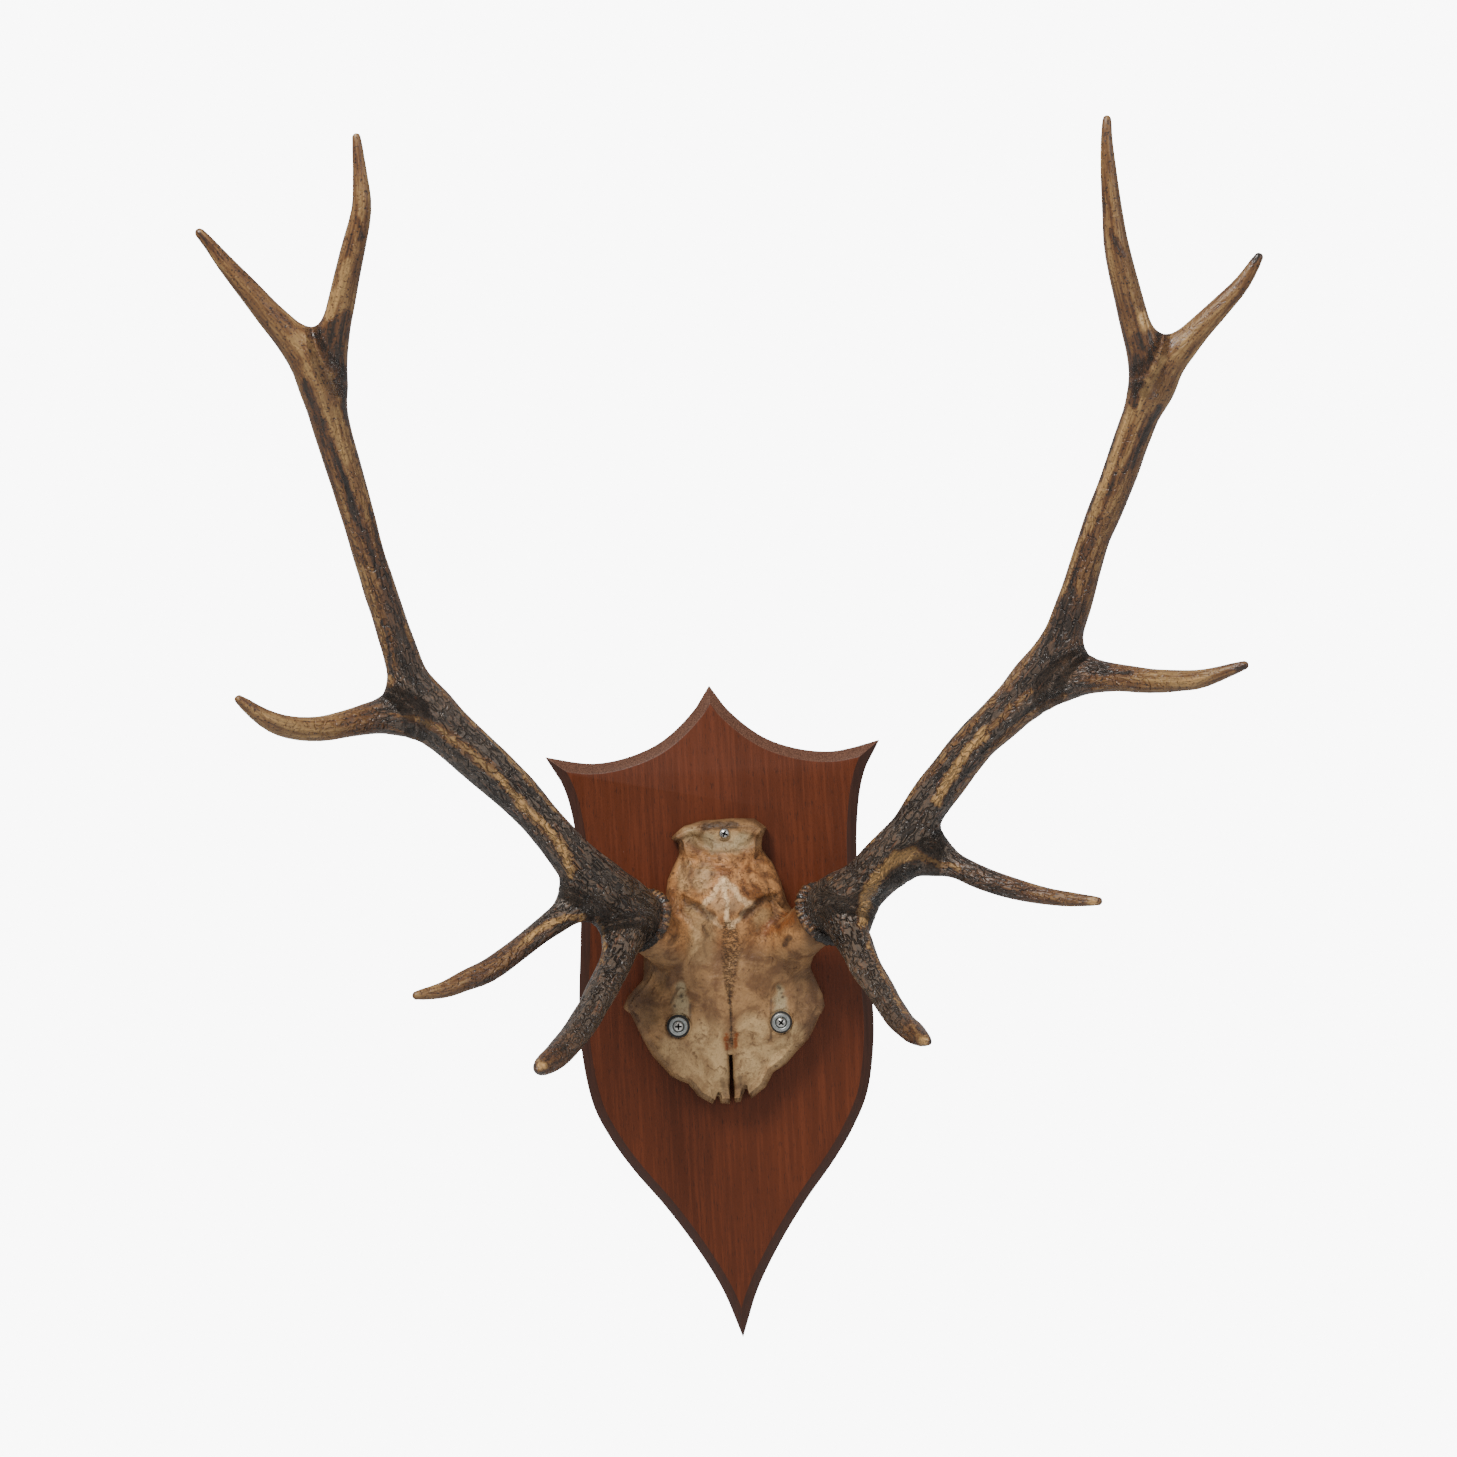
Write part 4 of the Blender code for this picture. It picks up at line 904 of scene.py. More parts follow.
class Rod:
    """One branch: its axis, its radii, how far along each step is, and two directions across it."""

    def __init__(self, name, points, tip=True):
        path = smooth_path(points, PATH_STEPS)
        if tip:
            last = path[-1, :3] - path[-2, :3]
            path[-1, :3] -= last * (path[-1, 3] / np.linalg.norm(last))
        self.name = name
        self.tip = tip
        self.path = real(path)
        self.radii = path[:, 3] * MILLIMETRE
        runs = np.diff(self.path, axis=0)
        self.along = np.concatenate([[0.0], np.cumsum(np.linalg.norm(runs, axis=1))])
        ways = runs / np.linalg.norm(runs, axis=1)[:, None]
        side = np.cross(ways[0], (0.0, 1.0, 0.0))
        self.sides = []
        self.ups = []
        for way in ways:
            side = side - (side @ way) * way
            side = side / np.linalg.norm(side)
            self.sides.append(side)
            self.ups.append(np.cross(way, side))

    def distance(self, points):
        nearest = np.full(len(points), FAR)
        for a, b, ra, rb in zip(self.path, self.path[1:], self.radii, self.radii[1:]):
            run = b - a
            share = np.clip((points - a) @ run / (run @ run), 0.0, 1.0)
            away = np.linalg.norm(points - a - share[:, None] * run, axis=1)
            nearest = np.minimum(nearest, away - ra - share * (rb - ra))
        return nearest

    def flow(self, points):
        """Distance, and the place of each point along and across the straightened branch."""
        nearest = np.full(len(points), FAR)
        place = np.zeros((len(points), 3))
        for i, (a, b) in enumerate(zip(self.path, self.path[1:])):
            run = b - a
            share = np.clip((points - a) @ run / (run @ run), 0.0, 1.0)
            off = points - a - share[:, None] * run
            away = np.linalg.norm(off, axis=1) - self.radii[i] - share * (self.radii[i + 1] - self.radii[i])
            better = away < nearest
            nearest[better] = away[better]
            place[better, 0] = self.along[i] + share[better] * (self.along[i + 1] - self.along[i])
            place[better, 1] = off[better] @ self.sides[i]
            place[better, 2] = off[better] @ self.ups[i]
        return nearest, place


def soft_least(first, second, width):
    """The lesser of two distances, with a fillet of about this width where they are alike."""
    overlap = np.maximum(width - np.abs(first - second), 0.0) / width
    return np.minimum(first, second) - overlap * overlap * width / 4


def edge_distance(points, outline):
    """Signed distance to the sawn edge, seen from the front: negative inside it."""
    flat = points[:, [0, 2]]
    nearest = np.full(len(flat), FAR)
    inside = np.zeros(len(flat), bool)
    for a, b in zip(outline, np.roll(outline, -1, axis=0)):
        run = b - a
        share = np.clip((flat - a) @ run / (run @ run), 0.0, 1.0)
        nearest = np.minimum(nearest, np.linalg.norm(flat - a - share[:, None] * run, axis=1))
        crosses = (a[1] > flat[:, 1]) != (b[1] > flat[:, 1])
        rise = b[1] - a[1] if b[1] != a[1] else 1.0
        inside ^= crosses & (flat[:, 0] < a[0] + (flat[:, 1] - a[1]) * run[0] / rise)
    return np.where(inside, -nearest, nearest)


def swelling_distance(points, swelling):
    """Distance to an egg shape given by its middle and its three half widths."""
    centre = real(swelling[:3])[0]
    axes = np.array(swelling[3:]) * MILLIMETRE
    return (np.linalg.norm((points - centre) / axes, axis=1) - 1.0) * axes.min()


def skull_outline():
    return np.array([real((x, 0, z))[0][[0, 2]] for x, z in SKULL_EDGE])


def skull_distance(points, outline):
    body = np.full(len(points), FAR)
    for swelling in SKULL_SWELLINGS:
        body = soft_least(body, swelling_distance(points, swelling), SKULL_WEB)
    solid = soft_least(-body, -edge_distance(points, outline), SAWN_EDGE)
    for hollow in ORBIT_HOLLOWS:
        solid = soft_least(solid, swelling_distance(points, hollow), SAWN_EDGE)
    return -solid


class Coronet:
    """The ring of pearls round the foot of an antler, and the plane across it."""

    def __init__(self, centre, branches):
        start, end = real([branches["beam"][1], branches["beam"][3]])
        self.centre = real(centre)[0]
        self.axis = (end - start) / np.linalg.norm(end - start)
        side = np.cross(self.axis, (0.0, 0.0, 1.0))
        self.side = side / np.linalg.norm(side)

    def height(self, points):
        return (points - self.centre) @ self.axis

    def turn(self, points):
        off = points - self.centre
        return np.arctan2(off @ np.cross(self.axis, self.side), off @ self.side)

    def pearl(self, points):
        """1 on a pearl and -1 in the gap between two."""
        turn = self.turn(points)
        uneven = 0.6 + 0.4 * np.sin(7 * turn + 2.0) * np.sin(3 * turn)
        return np.cos(PEARLS * turn + 2.2 * np.sin(3 * turn) + 1.1 * np.sin(8 * turn + 1.0)) * uneven

    def distance(self, points):
        height = self.height(points)
        off = points - self.centre - height[:, None] * self.axis
        beyond = np.linalg.norm(off, axis=1) - CORONET_RADIUS
        return np.hypot(beyond, height) - CORONET_TUBE - PEARL_HEIGHT * self.pearl(points)


def settle(mesh, distance):
    """Moves every vertex of the mesh on to the surface where the distance is nothing."""
    points = vertex_places(mesh)
    ways = np.array([(1, -1, -1), (-1, -1, 1), (-1, 1, -1), (1, 1, 1)], float)
    for _ in range(SETTLING_STEPS):
        away = distance(points)
        slope = np.zeros_like(points)
        for way in ways:
            slope += way * distance(points + SETTLING_NUDGE * way)[:, None]
        slope /= 4 * SETTLING_NUDGE
        steepness = np.maximum((slope * slope).sum(axis=1), LEAST_STEEPNESS)
        move = slope * (away / steepness)[:, None]
        length = np.linalg.norm(move, axis=1)
        points -= move * (np.minimum(length, SETTLING_REACH) / np.maximum(length, SMALLEST))[:, None]
    set_places(mesh, points)


def vertex_places(mesh):
    points = np.empty(len(mesh.vertices) * 3)
    mesh.vertices.foreach_get("co", points)
    return points.reshape(-1, 3)


def vertex_normals(mesh):
    normals = np.empty(len(mesh.vertices) * 3, np.float32)
    mesh.vertex_normals.foreach_get("vector", normals)
    return normals.reshape(-1, 3).astype(float)


def set_places(mesh, points):
    mesh.vertices.foreach_set("co", points.ravel())
    mesh.update()


def set_attribute(mesh, name, values):
    if values.ndim == 2:
        mesh.attributes.new(name, "FLOAT_VECTOR", "POINT").data.foreach_set("vector", values.ravel())
    else:
        mesh.attributes.new(name, "FLOAT", "POINT").data.foreach_set("value", values)


def waves(points, along, across=None):
    """Smooth noise from -1 to 1 at each point; with across, it is stretched along the first axis."""
    spots = points * (along, across or along, across or along)
    return np.array([noise.noise(Vector(spot)) for spot in spots.tolist()])


def facing_front(mesh):
    """1 where the skin faces the front, fading to 0 where it turns away."""
    return step(-vertex_normals(mesh)[:, 1], 0.0, FACING_FADE)


def photo_places(points):
    """Where each point falls in the photograph, in its pixels."""
    across = points[:, 0] - CAMERA_PLACE[0]
    up = points[:, 2] - CAMERA_PLACE[2]
    turned_across = across * math.cos(CAMERA_ROLL) - up * math.sin(CAMERA_ROLL)
    turned_up = across * math.sin(CAMERA_ROLL) + up * math.cos(CAMERA_ROLL)
    distance = points[:, 1] - CAMERA_PLACE[1]
    pixel = PIXEL_AT_SHIELD * distance / (-CAMERA_PLACE[1] - SHIELD_THICKNESS)
    return PHOTO_MIDDLE_PIXEL + np.column_stack([turned_across, -turned_up]) / pixel[:, None]


def wandering(points, spread, scale):
    """Places in the photograph, moved about by some pixels so that the edges of strokes are ragged."""
    sway = np.column_stack([waves(points, scale), waves(points + WANDER_SHIFT, scale)])
    return photo_places(points) + spread * sway


def step(values, low, high):
    """0 up to the low value and 1 from the high one, with a smooth rise between."""
    share = np.clip((values - low) / np.maximum(high - low, SMALLEST), 0.0, 1.0)
    return share * share * (3 - 2 * share)


def stroke(places, points, width):
    """How far each place lies under a stroke of this width through the points, from 0 to 1."""
    points = np.array(points, float)
    if len(points) == 1:
        points = np.vstack([points, points + DOT])
    nearest = np.full(len(places), FAR)
    for a, b in zip(points, points[1:]):
        run = b - a
        share = np.clip((places - a) @ run / (run @ run), 0.0, 1.0)
        nearest = np.minimum(nearest, np.linalg.norm(places - a - share[:, None] * run, axis=1))
    return 1.0 - step(nearest, STROKE_CORE * width, STROKE_EDGE * width)


def rename(obj, name):
    obj.name = name
    obj.data.name = name


def only_selected(obj):
    bpy.ops.object.select_all(action="DESELECT")
    obj.select_set(True)
    bpy.context.view_layer.objects.active = obj


def add_rod(rod):
    """A curve whose thickness follows the branch, round at its tip, made a mesh."""
    path, radii = rod.path, rod.radii
    if rod.tip:
        way = (path[-1] - path[-2]) / np.linalg.norm(path[-1] - path[-2])
        tips = [path[-1] + way * radii[-1] * onward for onward, _ in TIP_STEPS]
        narrower = [radii[-1] * share for _, share in TIP_STEPS]
        path, radii = np.vstack([path, tips]), np.append(radii, narrower)
    curve = bpy.data.curves.new(rod.name, "CURVE")
    curve.dimensions = "3D"
    curve.bevel_depth = 1.0
    curve.bevel_resolution = TUBE_SIDES
    curve.use_fill_caps = True
    spline = curve.splines.new("POLY")
    spline.points.add(len(path) - 1)
    for point, spot, radius in zip(spline.points, path, radii):
        point.co = (*spot, 1.0)
        point.radius = radius
    obj = bpy.data.objects.new(rod.name, curve)
    bpy.context.scene.collection.objects.link(obj)
    only_selected(obj)
    bpy.ops.object.convert(target="MESH")
    return bpy.context.object


def add_ring(coronet):
    turn = Vector((0.0, 0.0, 1.0)).rotation_difference(Vector(coronet.axis)).to_euler()
    bpy.ops.mesh.primitive_torus_add(
        location=coronet.centre, rotation=turn, major_radius=CORONET_RADIUS, minor_radius=CORONET_TUBE,
        major_segments=CORONET_SEGMENTS, minor_segments=CORONET_TUBE_SEGMENTS)
    bpy.ops.object.transform_apply()
    return bpy.context.object


def join(objects, name):
    bpy.ops.object.select_all(action="DESELECT")
    for obj in objects:
        obj.select_set(True)
    bpy.context.view_layer.objects.active = objects[0]
    if len(objects) > 1:
        bpy.ops.object.join()
    made = bpy.context.object
    rename(made, name)
    bpy.ops.object.transform_apply()
    return made


def apply_modifier(obj, kind, **values):
    only_selected(obj)
    modifier = obj.modifiers.new(kind, kind)
    for name, value in values.items():
        setattr(modifier, name, value)
    bpy.ops.object.modifier_apply(modifier=modifier.name)


def clean(obj):
    """Merges doubles and turns every face outwards."""
    only_selected(obj)
    bpy.ops.object.mode_set(mode="EDIT")
    bpy.ops.mesh.select_all(action="SELECT")
    bpy.ops.mesh.remove_doubles(threshold=DOUBLES)
    bpy.ops.mesh.normals_make_consistent(inside=False)
    bpy.ops.object.mode_set(mode="OBJECT")


def draw_out(outline, back, depth):
    """An outline of across and up, drawn out along Y and left in edit mode with its far end selected."""
    bpy.ops.mesh.primitive_circle_add(vertices=len(outline), radius=np.abs(outline).max(), fill_type="NGON")
    obj = bpy.context.object
    for vertex, (x, z) in zip(obj.data.vertices, outline):
        vertex.co = (x, back, z)
    bpy.ops.object.mode_set(mode="EDIT")
    bpy.ops.mesh.select_all(action="SELECT")
    bpy.ops.mesh.extrude_region_move(TRANSFORM_OT_translate={"value": (0.0, depth, 0.0)})
    return obj


def soften(obj, width, angle):
    apply_modifier(obj, "BEVEL", width=width, segments=2, limit_method="ANGLE",
                   angle_limit=math.radians(angle))


def smooth_by_angle(obj, angle):
    only_selected(obj)
    bpy.ops.object.shade_smooth_by_angle(angle=math.radians(angle))


def smooth_all(obj):
    only_selected(obj)
    bpy.ops.object.shade_smooth()


def mark_faces(obj, name, values):
    obj.data.attributes.new(name, "FLOAT", "FACE").data.foreach_set("value", values)


def finish_piece(obj, look, node):
    obj.data.materials.append(look)
    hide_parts(node)
    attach(obj, "root")


def read_branches(points, rods):
    """Tone, wrinkles, flow and the way left to the tip, from the branch nearest to each point.

    The last value is how plain the skin is: 1 where two branches meet and neither way along leads.
    """
    nearest = np.full(len(points), FAR)
    second = np.full(len(points), FAR)
    flow = np.zeros((len(points), 3))
    tone, wrinkle, to_tip = np.zeros((3, len(points)))
    for index, rod in enumerate(rods):
        away, place = rod.flow(points)
        better = away < nearest
        second = np.where(better, nearest, np.minimum(second, away))
        share = place[better, 0] / rod.along[-1]
        for values, table in ((tone, BRANCH_TONES[rod.name]), (wrinkle, BRANCH_WRINKLES[rod.name])):
            values[better] = np.interp(share, np.linspace(0, 1, len(table)), table)
        to_tip[better] = rod.along[-1] - place[better, 0]
        place[:, 0] += index
        flow[better] = place[better]
        nearest[better] = away[better]
    return tone, wrinkle, flow, to_tip, 1.0 - step(second - nearest, *FORK_FADE)


def make_antler(name, branches, coronet_place, strokes, sizes):
    """One antler from just inside its coronet: grooved, lumpy and painted along its branches."""
    coronet = Coronet(coronet_place, branches)
    rods = [Rod(branch, points) for branch, points in branches.items()]
    past_coronet = Rod("beam", branches["beam"][CORONET_POINT:])
    tubes = [add_rod(past_coronet)] + [add_rod(rod) for rod in rods if rod.name != "beam"]
    obj = join(tubes + [add_ring(coronet)], name)
    apply_modifier(obj, "REMESH", mode="VOXEL", voxel_size=sizes.antler_skin)
    mesh = obj.data

    def distance(points):
        total = np.full(len(points), FAR)
        for rod in rods:
            total = soft_least(total, rod.distance(points), WEB)
        total = soft_least(total, coronet.distance(points), CORONET_TUBE)
        return np.maximum(total, -coronet.height(points) - SEAM_LAP)

    settle(mesh, distance)
    points = vertex_places(mesh)
    tone, wrinkle, flow, to_tip, plain = read_branches(points, rods)
    in_ring = 1.0 - step(np.abs(coronet.height(points)), *RING_FADE)
    wrinkle *= 1.0 - RING_SMOOTHNESS * in_ring
    grooves = waves(flow, *GROOVES) + FINE_GROOVE_SHARE * waves(flow + GROOVE_SHIFT, *FINE_GROOVES)
    grooves = (1.0 - plain) * grooves + plain * waves(points, FORK_WAVES)
    lumps = waves(points, LUMPS)
    relief = sizes.groove_depth * wrinkle * grooves
    relief += sizes.lump_height * lumps * np.minimum(wrinkle + LEAST_LUMPS, 1.0)
    relief *= step(to_tip, 0.0, SMOOTH_TIP)
    set_places(mesh, np.clip(points + relief[:, None] * vertex_normals(mesh), *CAD_BOX))

    tone += LUMP_TONE * lumps + GROOVE_TONE * grooves * wrinkle
    pearl = (0.5 + 0.5 * coronet.pearl(points)) * (0.5 + 0.5 * waves(points + PEARL_SHIFT, PEARL_WAVES))
    tone = tone * (1.0 - in_ring) + np.interp(pearl, (0.0, 1.0), RING_TONES) * in_ring
    facing = facing_front(mesh)
    places = wandering(points, ANTLER_WANDER, STROKE_WAVES)
    for value, width, line in strokes:
        cover = stroke(places, line, width) * facing
        tone = tone * (1.0 - cover) + value * cover
    for mark, values in (("tone", tone), ("wrinkle", wrinkle), ("plain", plain), ("flow", flow)):
        set_attribute(mesh, mark, values)
    smooth_all(obj)
    finish_piece(obj, antler_material(sizes), "skull_and_antlers")


def round_part(node):
    """The middle of a round part seen from the front, its radius and its length along Y."""
    low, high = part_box(node)
    return (low[0] + high[0]) / 2, (low[2] + high[2]) / 2, (high[0] - low[0]) / 2, high[1] - low[1]


def flat_spots():
    """Middle, radius and depth of the flat spot under the top screw's head and under each rubber ring."""
    spots = []
    for node in ("top_screw", "left_rubber_ring", "right_rubber_ring"):
        low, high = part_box(node)
        seat = low[1] + SCREW_HEAD_HEIGHT if node == "top_screw" else high[1]
        x, z, radius, _ = round_part(node)
        spots.append((x, z, radius + SPOT_ROOM, seat))
    return spots


def near_screws(points):
    """1 at a screw, fading to 0 away from it."""
    near = np.zeros(len(points))
    for node in ("top_screw", "left_screw", "right_screw"):
        x, z, _, _ = round_part(node)
        away = np.hypot(points[:, 0] - x, points[:, 2] - z)
        near = np.maximum(near, 1.0 - step(away, SCREW_SPOT, SPOT_FADE * SCREW_SPOT))
    return near


def bone_marks(mesh, outline):
    """How strongly each kind of mark covers each vertex; relief is in millimetres."""
    points = vertex_places(mesh)
    places = photo_places(points)
    ragged = wandering(points, BONE_WANDER, BONE_STROKE_WAVES)
    facing = facing_front(mesh)
    marks = {}
    for kind, strokes in SKULL_STROKES.items():
        covers = []
        for strength, width, line in strokes:
            covers.append(stroke(places if width < FINE_STROKE else ragged, line, width) * facing * strength)
        marks[kind] = sum(covers) if kind == "relief" else np.maximum.reduce(covers)
    across, down = places.T
    heights, middles, widths = np.transpose(SEAM)
    wide = np.interp(down, heights, widths, left=0.0, right=0.0)
    off_seam = np.abs(across - np.interp(down, heights, middles))
    marks["seam"] = (1.0 - step(off_seam, SEAM_CORE * wide, SEAM_EDGE * wide)) * facing
    # The nasal cleft, a slit in the bone, is painted dark as painted shade, over a shallow hollow
    cleft = step(down, *CLEFT_TOP) * (1.0 - step(off_seam, *CLEFT_EDGE)) * facing * (down < CLEFT_FOOT)
    sawn = step(edge_distance(points, outline), -SAWN_RIM, 0.0)
    marks["dark"] = np.maximum.reduce([marks["dark"], CLEFT_SHADE * cleft, SAWN_DARKNESS * sawn])
    marks["relief"] -= CLEFT_DEPTH * cleft
    return marks


def make_skull(sizes):
    """Skull plate with its two pedicles, cut off just inside the coronets."""
    both = (LEFT_BRANCHES, RIGHT_BRANCHES)
    coronets = [Coronet(LEFT_CORONET, LEFT_BRANCHES), Coronet(RIGHT_CORONET, RIGHT_BRANCHES)]
    rods = [Rod("beam", branches["beam"][:ROOT_POINTS], False) for branches in both]
    outline = skull_outline()
    spots = flat_spots()
    slab = draw_out(outline, SLAB_BACK, SLAB_FRONT - SLAB_BACK)
    bpy.ops.object.mode_set(mode="OBJECT")
    clean(slab)
    pedicles = [add_rod(Rod("beam", branches["beam"][:PEDICLE_POINTS], False)) for branches in both]
    obj = join([slab] + pedicles, "skull_plate")
    apply_modifier(obj, "REMESH", mode="VOXEL", voxel_size=sizes.skull_skin)
    mesh = obj.data

    def distance(points):
        total = np.full(len(points), FAR)
        for rod in rods:
            total = soft_least(total, rod.distance(points), SKULL_WEB)
        total = soft_least(total, skull_distance(points, outline), SKULL_WEB)
        for coronet in coronets:
            total = np.maximum(total, coronet.height(points) - SEAM_LAP)
        for x, z, radius, seat in spots:
            away = np.hypot(points[:, 0] - x, points[:, 2] - z) - radius
            total = -soft_least(-total, np.maximum(away, points[:, 1] - seat), SPOT_EDGE)
        return np.maximum(total, points[:, 1] - SLAB_BACK)

    settle(mesh, distance)
    points = vertex_places(mesh)
    marks = bone_marks(mesh, outline)
    relief = marks.pop("relief") * MILLIMETRE * (1.0 - near_screws(points))
    relief += BONE_SWELL_HEIGHT * waves(points, BONE_SWELLS)
    relief += BONE_DIMPLE_HEIGHT * waves(points, BONE_DIMPLES)
    relief *= step(SLAB_BACK - points[:, 1], *BACK_FADE)
    set_places(mesh, points + relief[:, None] * vertex_normals(mesh))
    for kind, values in marks.items():
        set_attribute(mesh, kind, values)
    smooth_all(obj)
    finish_piece(obj, skull_material(sizes), "skull_and_antlers")


def straight_ended(points):
    """A smooth stretch whose ends are straight, so that the chamfer meets cleanly at the corners."""
    path = smooth_path(points, ARC_STEPS)
    return np.vstack([path[:1], path[ARC_STEPS:-ARC_STEPS], path[-1:]])


def make_shield(sizes):
    """The outline drawn out, its front inset and raised by the chamfer, and its edges softened."""
    half = np.vstack([straight_ended(TOP_ARC)[:-1], straight_ended(SIDE_CURVE)]) * MILLIMETRE
    outline = np.vstack([half, half[-2:0:-1] * (-1, 1)])
    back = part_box("shield_plaque")[1][1]
    obj = draw_out(outline, back, CHAMFER - SHIELD_THICKNESS)
    rename(obj, "wooden_shield")
    bpy.ops.mesh.inset(thickness=CHAMFER, use_even_offset=True)
    bpy.ops.transform.translate(value=(0.0, -CHAMFER, 0.0))
    bpy.ops.object.mode_set(mode="OBJECT")
    clean(obj)
    soften(obj, sizes.edge_softness, EDGE_ANGLE)
    # Kinds of face for the wood's colour: 0 the front, 1 the upward chamfers, painted lighter as lit, and 0.5
    # the rest, with the side and lower chamfers painted darker as shaded
    cut = []
    for face in obj.data.polygons:
        if face.normal.y < FRONT_TILT:
            cut.append(0.0)
        elif face.normal.y < CHAMFER_TILT and face.normal.z > TOP_TILT:
            cut.append(1.0)
        else:
            cut.append(0.5)
    mark_faces(obj, "cut", cut)
    smooth_by_angle(obj, SMOOTH_ANGLE)
    finish_piece(obj, wood_material(sizes), "shield_plaque")


def add_turned(name, profile, node):
    """A profile of radius and height, drawn out ring by ring and stood on its axis towards -Y.

    A profile that doesn't come back to its start is closed with a flat face there.
    """
    radius, height = profile[0]
    bpy.ops.mesh.primitive_circle_add(vertices=TURNED_SIDES, radius=radius, fill_type="NOTHING")
    obj = bpy.context.object
    rename(obj, name)
    bpy.ops.object.mode_set(mode="EDIT")
    bpy.ops.mesh.select_all(action="SELECT")
    bpy.ops.transform.translate(value=(0.0, 0.0, height))
    for next_radius, next_height in profile[1:]:
        bpy.ops.mesh.extrude_region_move(TRANSFORM_OT_translate={"value": (0.0, 0.0, next_height - height)})
        if next_radius == 0.0:
            bpy.ops.mesh.merge(type="CENTER")
            break
        share = next_radius / radius
        bpy.ops.transform.resize(value=(share, share, 1.0), center_override=(0.0, 0.0, next_height))
        radius, height = next_radius, next_height
    if profile[0] != profile[-1]:
        bpy.ops.mesh.select_all(action="DESELECT")
        bpy.ops.mesh.select_non_manifold()
        bpy.ops.mesh.edge_face_add()
    bpy.ops.object.mode_set(mode="OBJECT")
    x, z, _, _ = round_part(node)
    obj.rotation_euler = (math.pi / 2, 0.0, 0.0)
    obj.location = (x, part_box(node)[1][1], z)
    bpy.ops.object.transform_apply()
    clean(obj)
    return obj


def finish_turned(obj, look, node, softness):
    soften(obj, softness, TURNED_EDGE_ANGLE)
    smooth_by_angle(obj, TURNED_EDGE_ANGLE)
    finish_piece(obj, look, node)


def make_screw(side, turn, sizes, look):
    """A domed head with a cross recess, on its shank."""
    node = side + "_screw"
    low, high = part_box(node)
    x, z, head, length = round_part(node)
    seat = length - SCREW_HEAD_HEIGHT
    profile = [(SHANK_RADIUS, SHANK_RADIUS), (SHANK_RADIUS, seat), (head * HEAD_FOOT, seat),
               (head, seat + HEAD_RIM)]
    for angle in np.linspace(*DOME_ANGLES):
        profile.append((head * math.cos(angle), seat + SCREW_HEAD_HEIGHT * math.sin(angle)))
    profile.append((0.0, length))
    obj = add_turned(side + "_wood_screw", profile, node)
    for quarter in (0.0, math.pi / 2):
        bpy.ops.mesh.primitive_cube_add(size=1.0, location=(x, low[1], z))
        slot_cutter = bpy.context.object
        slot_cutter.scale = (sizes.recess_length, RECESS_DEPTH, sizes.recess_width)
        slot_cutter.rotation_euler = (0.0, turn + quarter, 0.0)
        bpy.ops.object.transform_apply()
        apply_modifier(obj, "BOOLEAN", operation="DIFFERENCE", solver="EXACT", object=slot_cutter)
        bpy.data.objects.remove(slot_cutter)
    finish_turned(obj, look, node, SCREW_SOFTNESS)
    # Faces deep in the cross recess, which the metal paints near black as painted shade
    recess = []
    for face in obj.data.polygons:
        off = math.hypot(face.center.x - x, face.center.z - z)
        dome = high[1] - seat - SCREW_HEAD_HEIGHT * math.sqrt(max(1.0 - (off / head) ** 2, 0.0))
        inside = off < RECESS_REACH * sizes.recess_length and face.center.y - dome > RECESS_SHADE_DEPTH
        recess.append(float(inside))
    mark_faces(obj, "recess", recess)


def make_cup(side, look):
    """A cup washer: a flat floor with a hole, a well for the screw's head and a rolled rim."""
    node = side + "_cup_washer"
    _, _, outer, deep = round_part(node)
    profile = [(HOLE_RADIUS, CUP_FLOOR), (CUP_WELL, CUP_FLOOR), (CUP_WELL + WELL_FLARE, deep - LIP_DROP),
               (CUP_LIP, deep), (outer - CUP_RIM, deep), (outer - SIDE_SLOPE, 0.7 * deep), (outer, CUP_FLARE),
               (outer - FOOT_ROUNDING, 0.0), (HOLE_RADIUS, 0.0), (HOLE_RADIUS, CUP_FLOOR)]
    cup = add_turned(side + "_cup", profile, node)
    finish_turned(cup, look, node, CUP_SOFTNESS)


def make_rubber_ring(side, look):
    """A soft ring, rounded outside and flat where it lies on the bone."""
    node = side + "_rubber_ring"
    _, _, outer, deep = round_part(node)
    profile = [(HOLE_RADIUS, deep), (outer - RUBBER_ROUNDING, deep), (outer - SIDE_SLOPE, deep - LIP_DROP),
               (outer, deep / 2), (outer - FOOT_ROUNDING, 0.0), (HOLE_RADIUS, 0.0), (HOLE_RADIUS, deep)]
    ring = add_turned(side + "_rubber", profile, node)
    finish_turned(ring, look, node, RUBBER_SOFTNESS)


class PLAQUE_OT_shield(bpy.types.Operator):
    """Build the wooden shield"""
    bl_idname = "plaque.shield"
    bl_label = "Wooden shield"

    def execute(self, context):
        make_shield(context.scene.plaque_shield)
        return {"FINISHED"}


class PLAQUE_OT_skull(bpy.types.Operator):
    """Build the sawn skull plate"""
    bl_idname = "plaque.skull"
    bl_label = "Skull plate"

    def execute(self, context):
        make_skull(context.scene.plaque_antlers)
        return {"FINISHED"}


class PLAQUE_OT_antlers(bpy.types.Operator):
    """Build the two antlers"""
    bl_idname = "plaque.antlers"
    bl_label = "Antlers"

    def execute(self, context):
        sizes = context.scene.plaque_antlers
        make_antler("left_antler", LEFT_BRANCHES, LEFT_CORONET, LEFT_STROKES, sizes)
        make_antler("right_antler", RIGHT_BRANCHES, RIGHT_CORONET, RIGHT_STROKES, sizes)
        return {"FINISHED"}


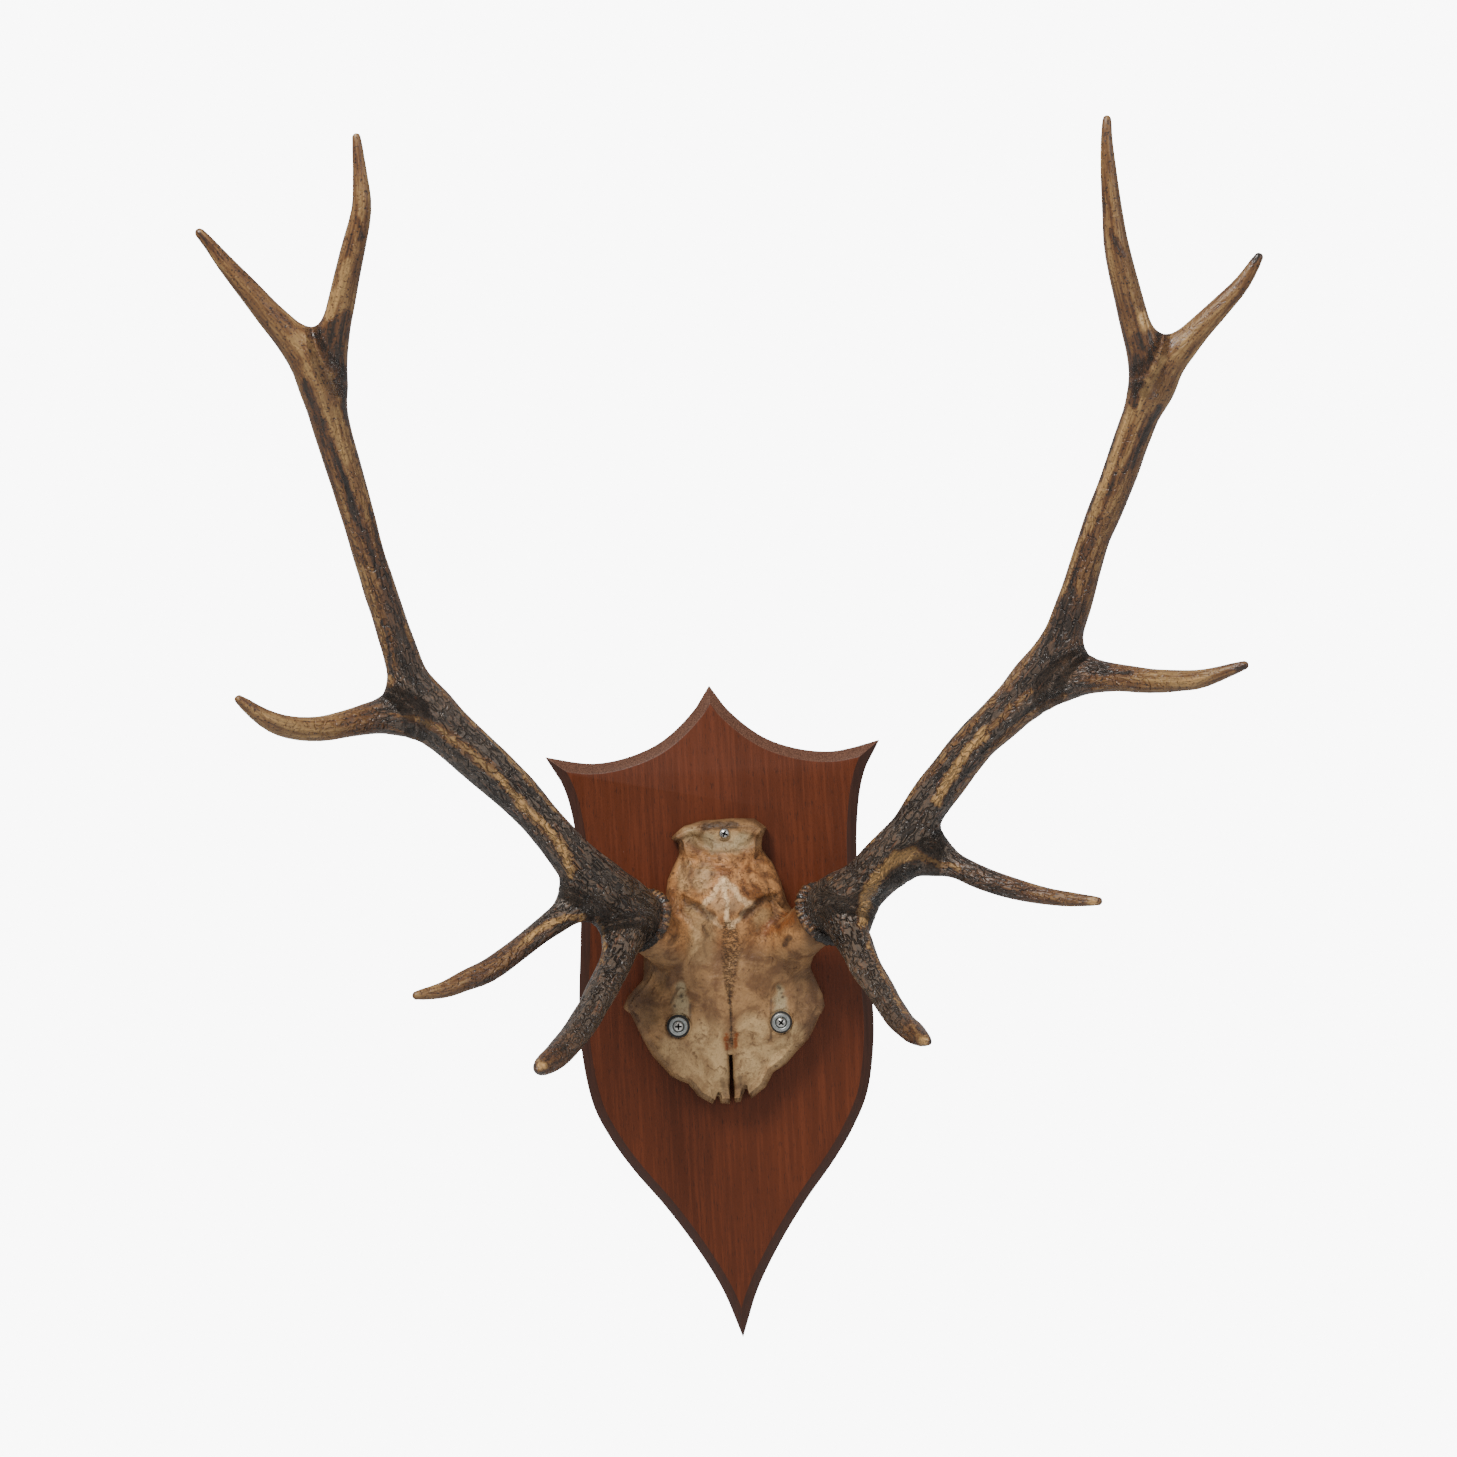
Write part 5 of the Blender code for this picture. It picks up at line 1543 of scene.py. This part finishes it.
class PLAQUE_OT_screws(bpy.types.Operator):
    """Build the three screws with their cups and rubber rings"""
    bl_idname = "plaque.screws"
    bl_label = "Screws, cups and rings"

    def execute(self, context):
        sizes = context.scene.plaque_screws
        steel = metal_material("Bright steel", tuple(sizes.metal_colour), 0.2, 0.00004)
        cup_metal = metal_material("Pale cup metal", linear(178, 182, 180), 0.34, 0.00006)
        rubber = rubber_material()
        make_screw("top", 0.4, sizes, steel)
        for side, turn in (("left", 0.0), ("right", math.pi / 4)):
            make_screw(side, turn, sizes, steel)
            make_cup(side, cup_metal)
            make_rubber_ring(side, rubber)
        return {"FINISHED"}


def add_light(name, place, aim, size, power, colour):
    data = bpy.data.lights.new(name, "AREA")
    data.size = size
    data.energy = power
    data.color = colour
    obj = bpy.data.objects.new(name, data)
    obj.location = place
    obj.rotation_euler = (Vector(aim) - Vector(place)).to_track_quat("-Z", "Y").to_euler()
    bpy.context.scene.collection.objects.link(obj)


class PLAQUE_OT_stage(bpy.types.Operator):
    """Add the floor, the lights and the camera"""
    bl_idname = "plaque.stage"
    bl_label = "Stage"

    def execute(self, context):
        white = (1.0, 1.0, 1.0, 1.0)
        bpy.ops.mesh.primitive_plane_add(size=FLOOR_SIZE, location=(0.0, 0.0, FLOOR_HEIGHT))
        floor = context.object
        floor.name = "floor"
        look, _, shader = new_material("Pale floor")
        shader.inputs["Base Color"].default_value = (0.85, 0.85, 0.85, 1.0)
        shader.inputs["Roughness"].default_value = 0.9
        floor.data.materials.append(look)
        world = bpy.data.worlds.new("Pale surroundings")
        world.use_nodes = True
        tree = world.node_tree
        lit = tree.nodes["Background"]
        lit.inputs["Color"].default_value = white
        lit.inputs["Strength"].default_value = SURROUNDINGS_STRENGTH
        seen = put(tree, "ShaderNodeBackground", {0: white, 1: BACKDROP_STRENGTH})
        ray = put(tree, "ShaderNodeLightPath")
        both = put(tree, "ShaderNodeMixShader", {0: ray.outputs["Is Camera Ray"], 1: lit.outputs[0],
                                                 2: seen.outputs[0]})
        tree.links.new(both.outputs[0], tree.nodes["World Output"].inputs[0])
        context.scene.world = world
        add_light("key", (-0.9, -1.9, 2.2), (0.0, 0.0, 0.2), 1.0, KEY_POWER, (1.0, 0.98, 0.95))
        add_light("fill", (2.0, -1.8, 0.8), (0.0, 0.0, 0.1), 1.6, FILL_POWER, (0.97, 0.98, 1.0))
        camera = bpy.data.objects.new("camera", bpy.data.cameras.new("camera"))
        camera.location = CAMERA_PLACE
        camera.rotation_euler = (math.pi / 2, CAMERA_ROLL, 0.0)
        camera.data.lens = CAMERA_LENS
        context.scene.collection.objects.link(camera)
        context.scene.camera = camera
        return {"FINISHED"}


class PLAQUE_PT_panel(bpy.types.Panel):
    """Lists the pieces of the plaque and their sizes"""
    bl_idname = "PLAQUE_PT_panel"
    bl_label = "Antler wall plaque"
    bl_space_type = "VIEW_3D"
    bl_region_type = "UI"
    bl_category = "Antlers"

    def draw(self, context):
        layout = self.layout
        scene = context.scene
        for sizes in (scene.plaque_shield, scene.plaque_antlers, scene.plaque_screws):
            for name in sizes.__annotations__:
                layout.prop(sizes, name)
        for made in OPERATORS:
            layout.operator(made.bl_idname)


OPERATORS = (PLAQUE_OT_stage, PLAQUE_OT_shield, PLAQUE_OT_skull, PLAQUE_OT_antlers, PLAQUE_OT_screws)
CLASSES = (AntlerSizes, ShieldSizes, ScrewSizes, *OPERATORS, PLAQUE_PT_panel)


def register():
    for made in CLASSES:
        bpy.utils.register_class(made)
    bpy.types.Scene.plaque_antlers = bpy.props.PointerProperty(type=AntlerSizes)
    bpy.types.Scene.plaque_shield = bpy.props.PointerProperty(type=ShieldSizes)
    bpy.types.Scene.plaque_screws = bpy.props.PointerProperty(type=ScrewSizes)


def unregister():
    del bpy.types.Scene.plaque_screws
    del bpy.types.Scene.plaque_shield
    del bpy.types.Scene.plaque_antlers
    for made in reversed(CLASSES):
        bpy.utils.unregister_class(made)


def main():
    register()
    bpy.ops.plaque.stage()
    bpy.ops.plaque.shield()
    bpy.ops.plaque.skull()
    bpy.ops.plaque.antlers()
    bpy.ops.plaque.screws()


if __name__ == "__main__":
    main()
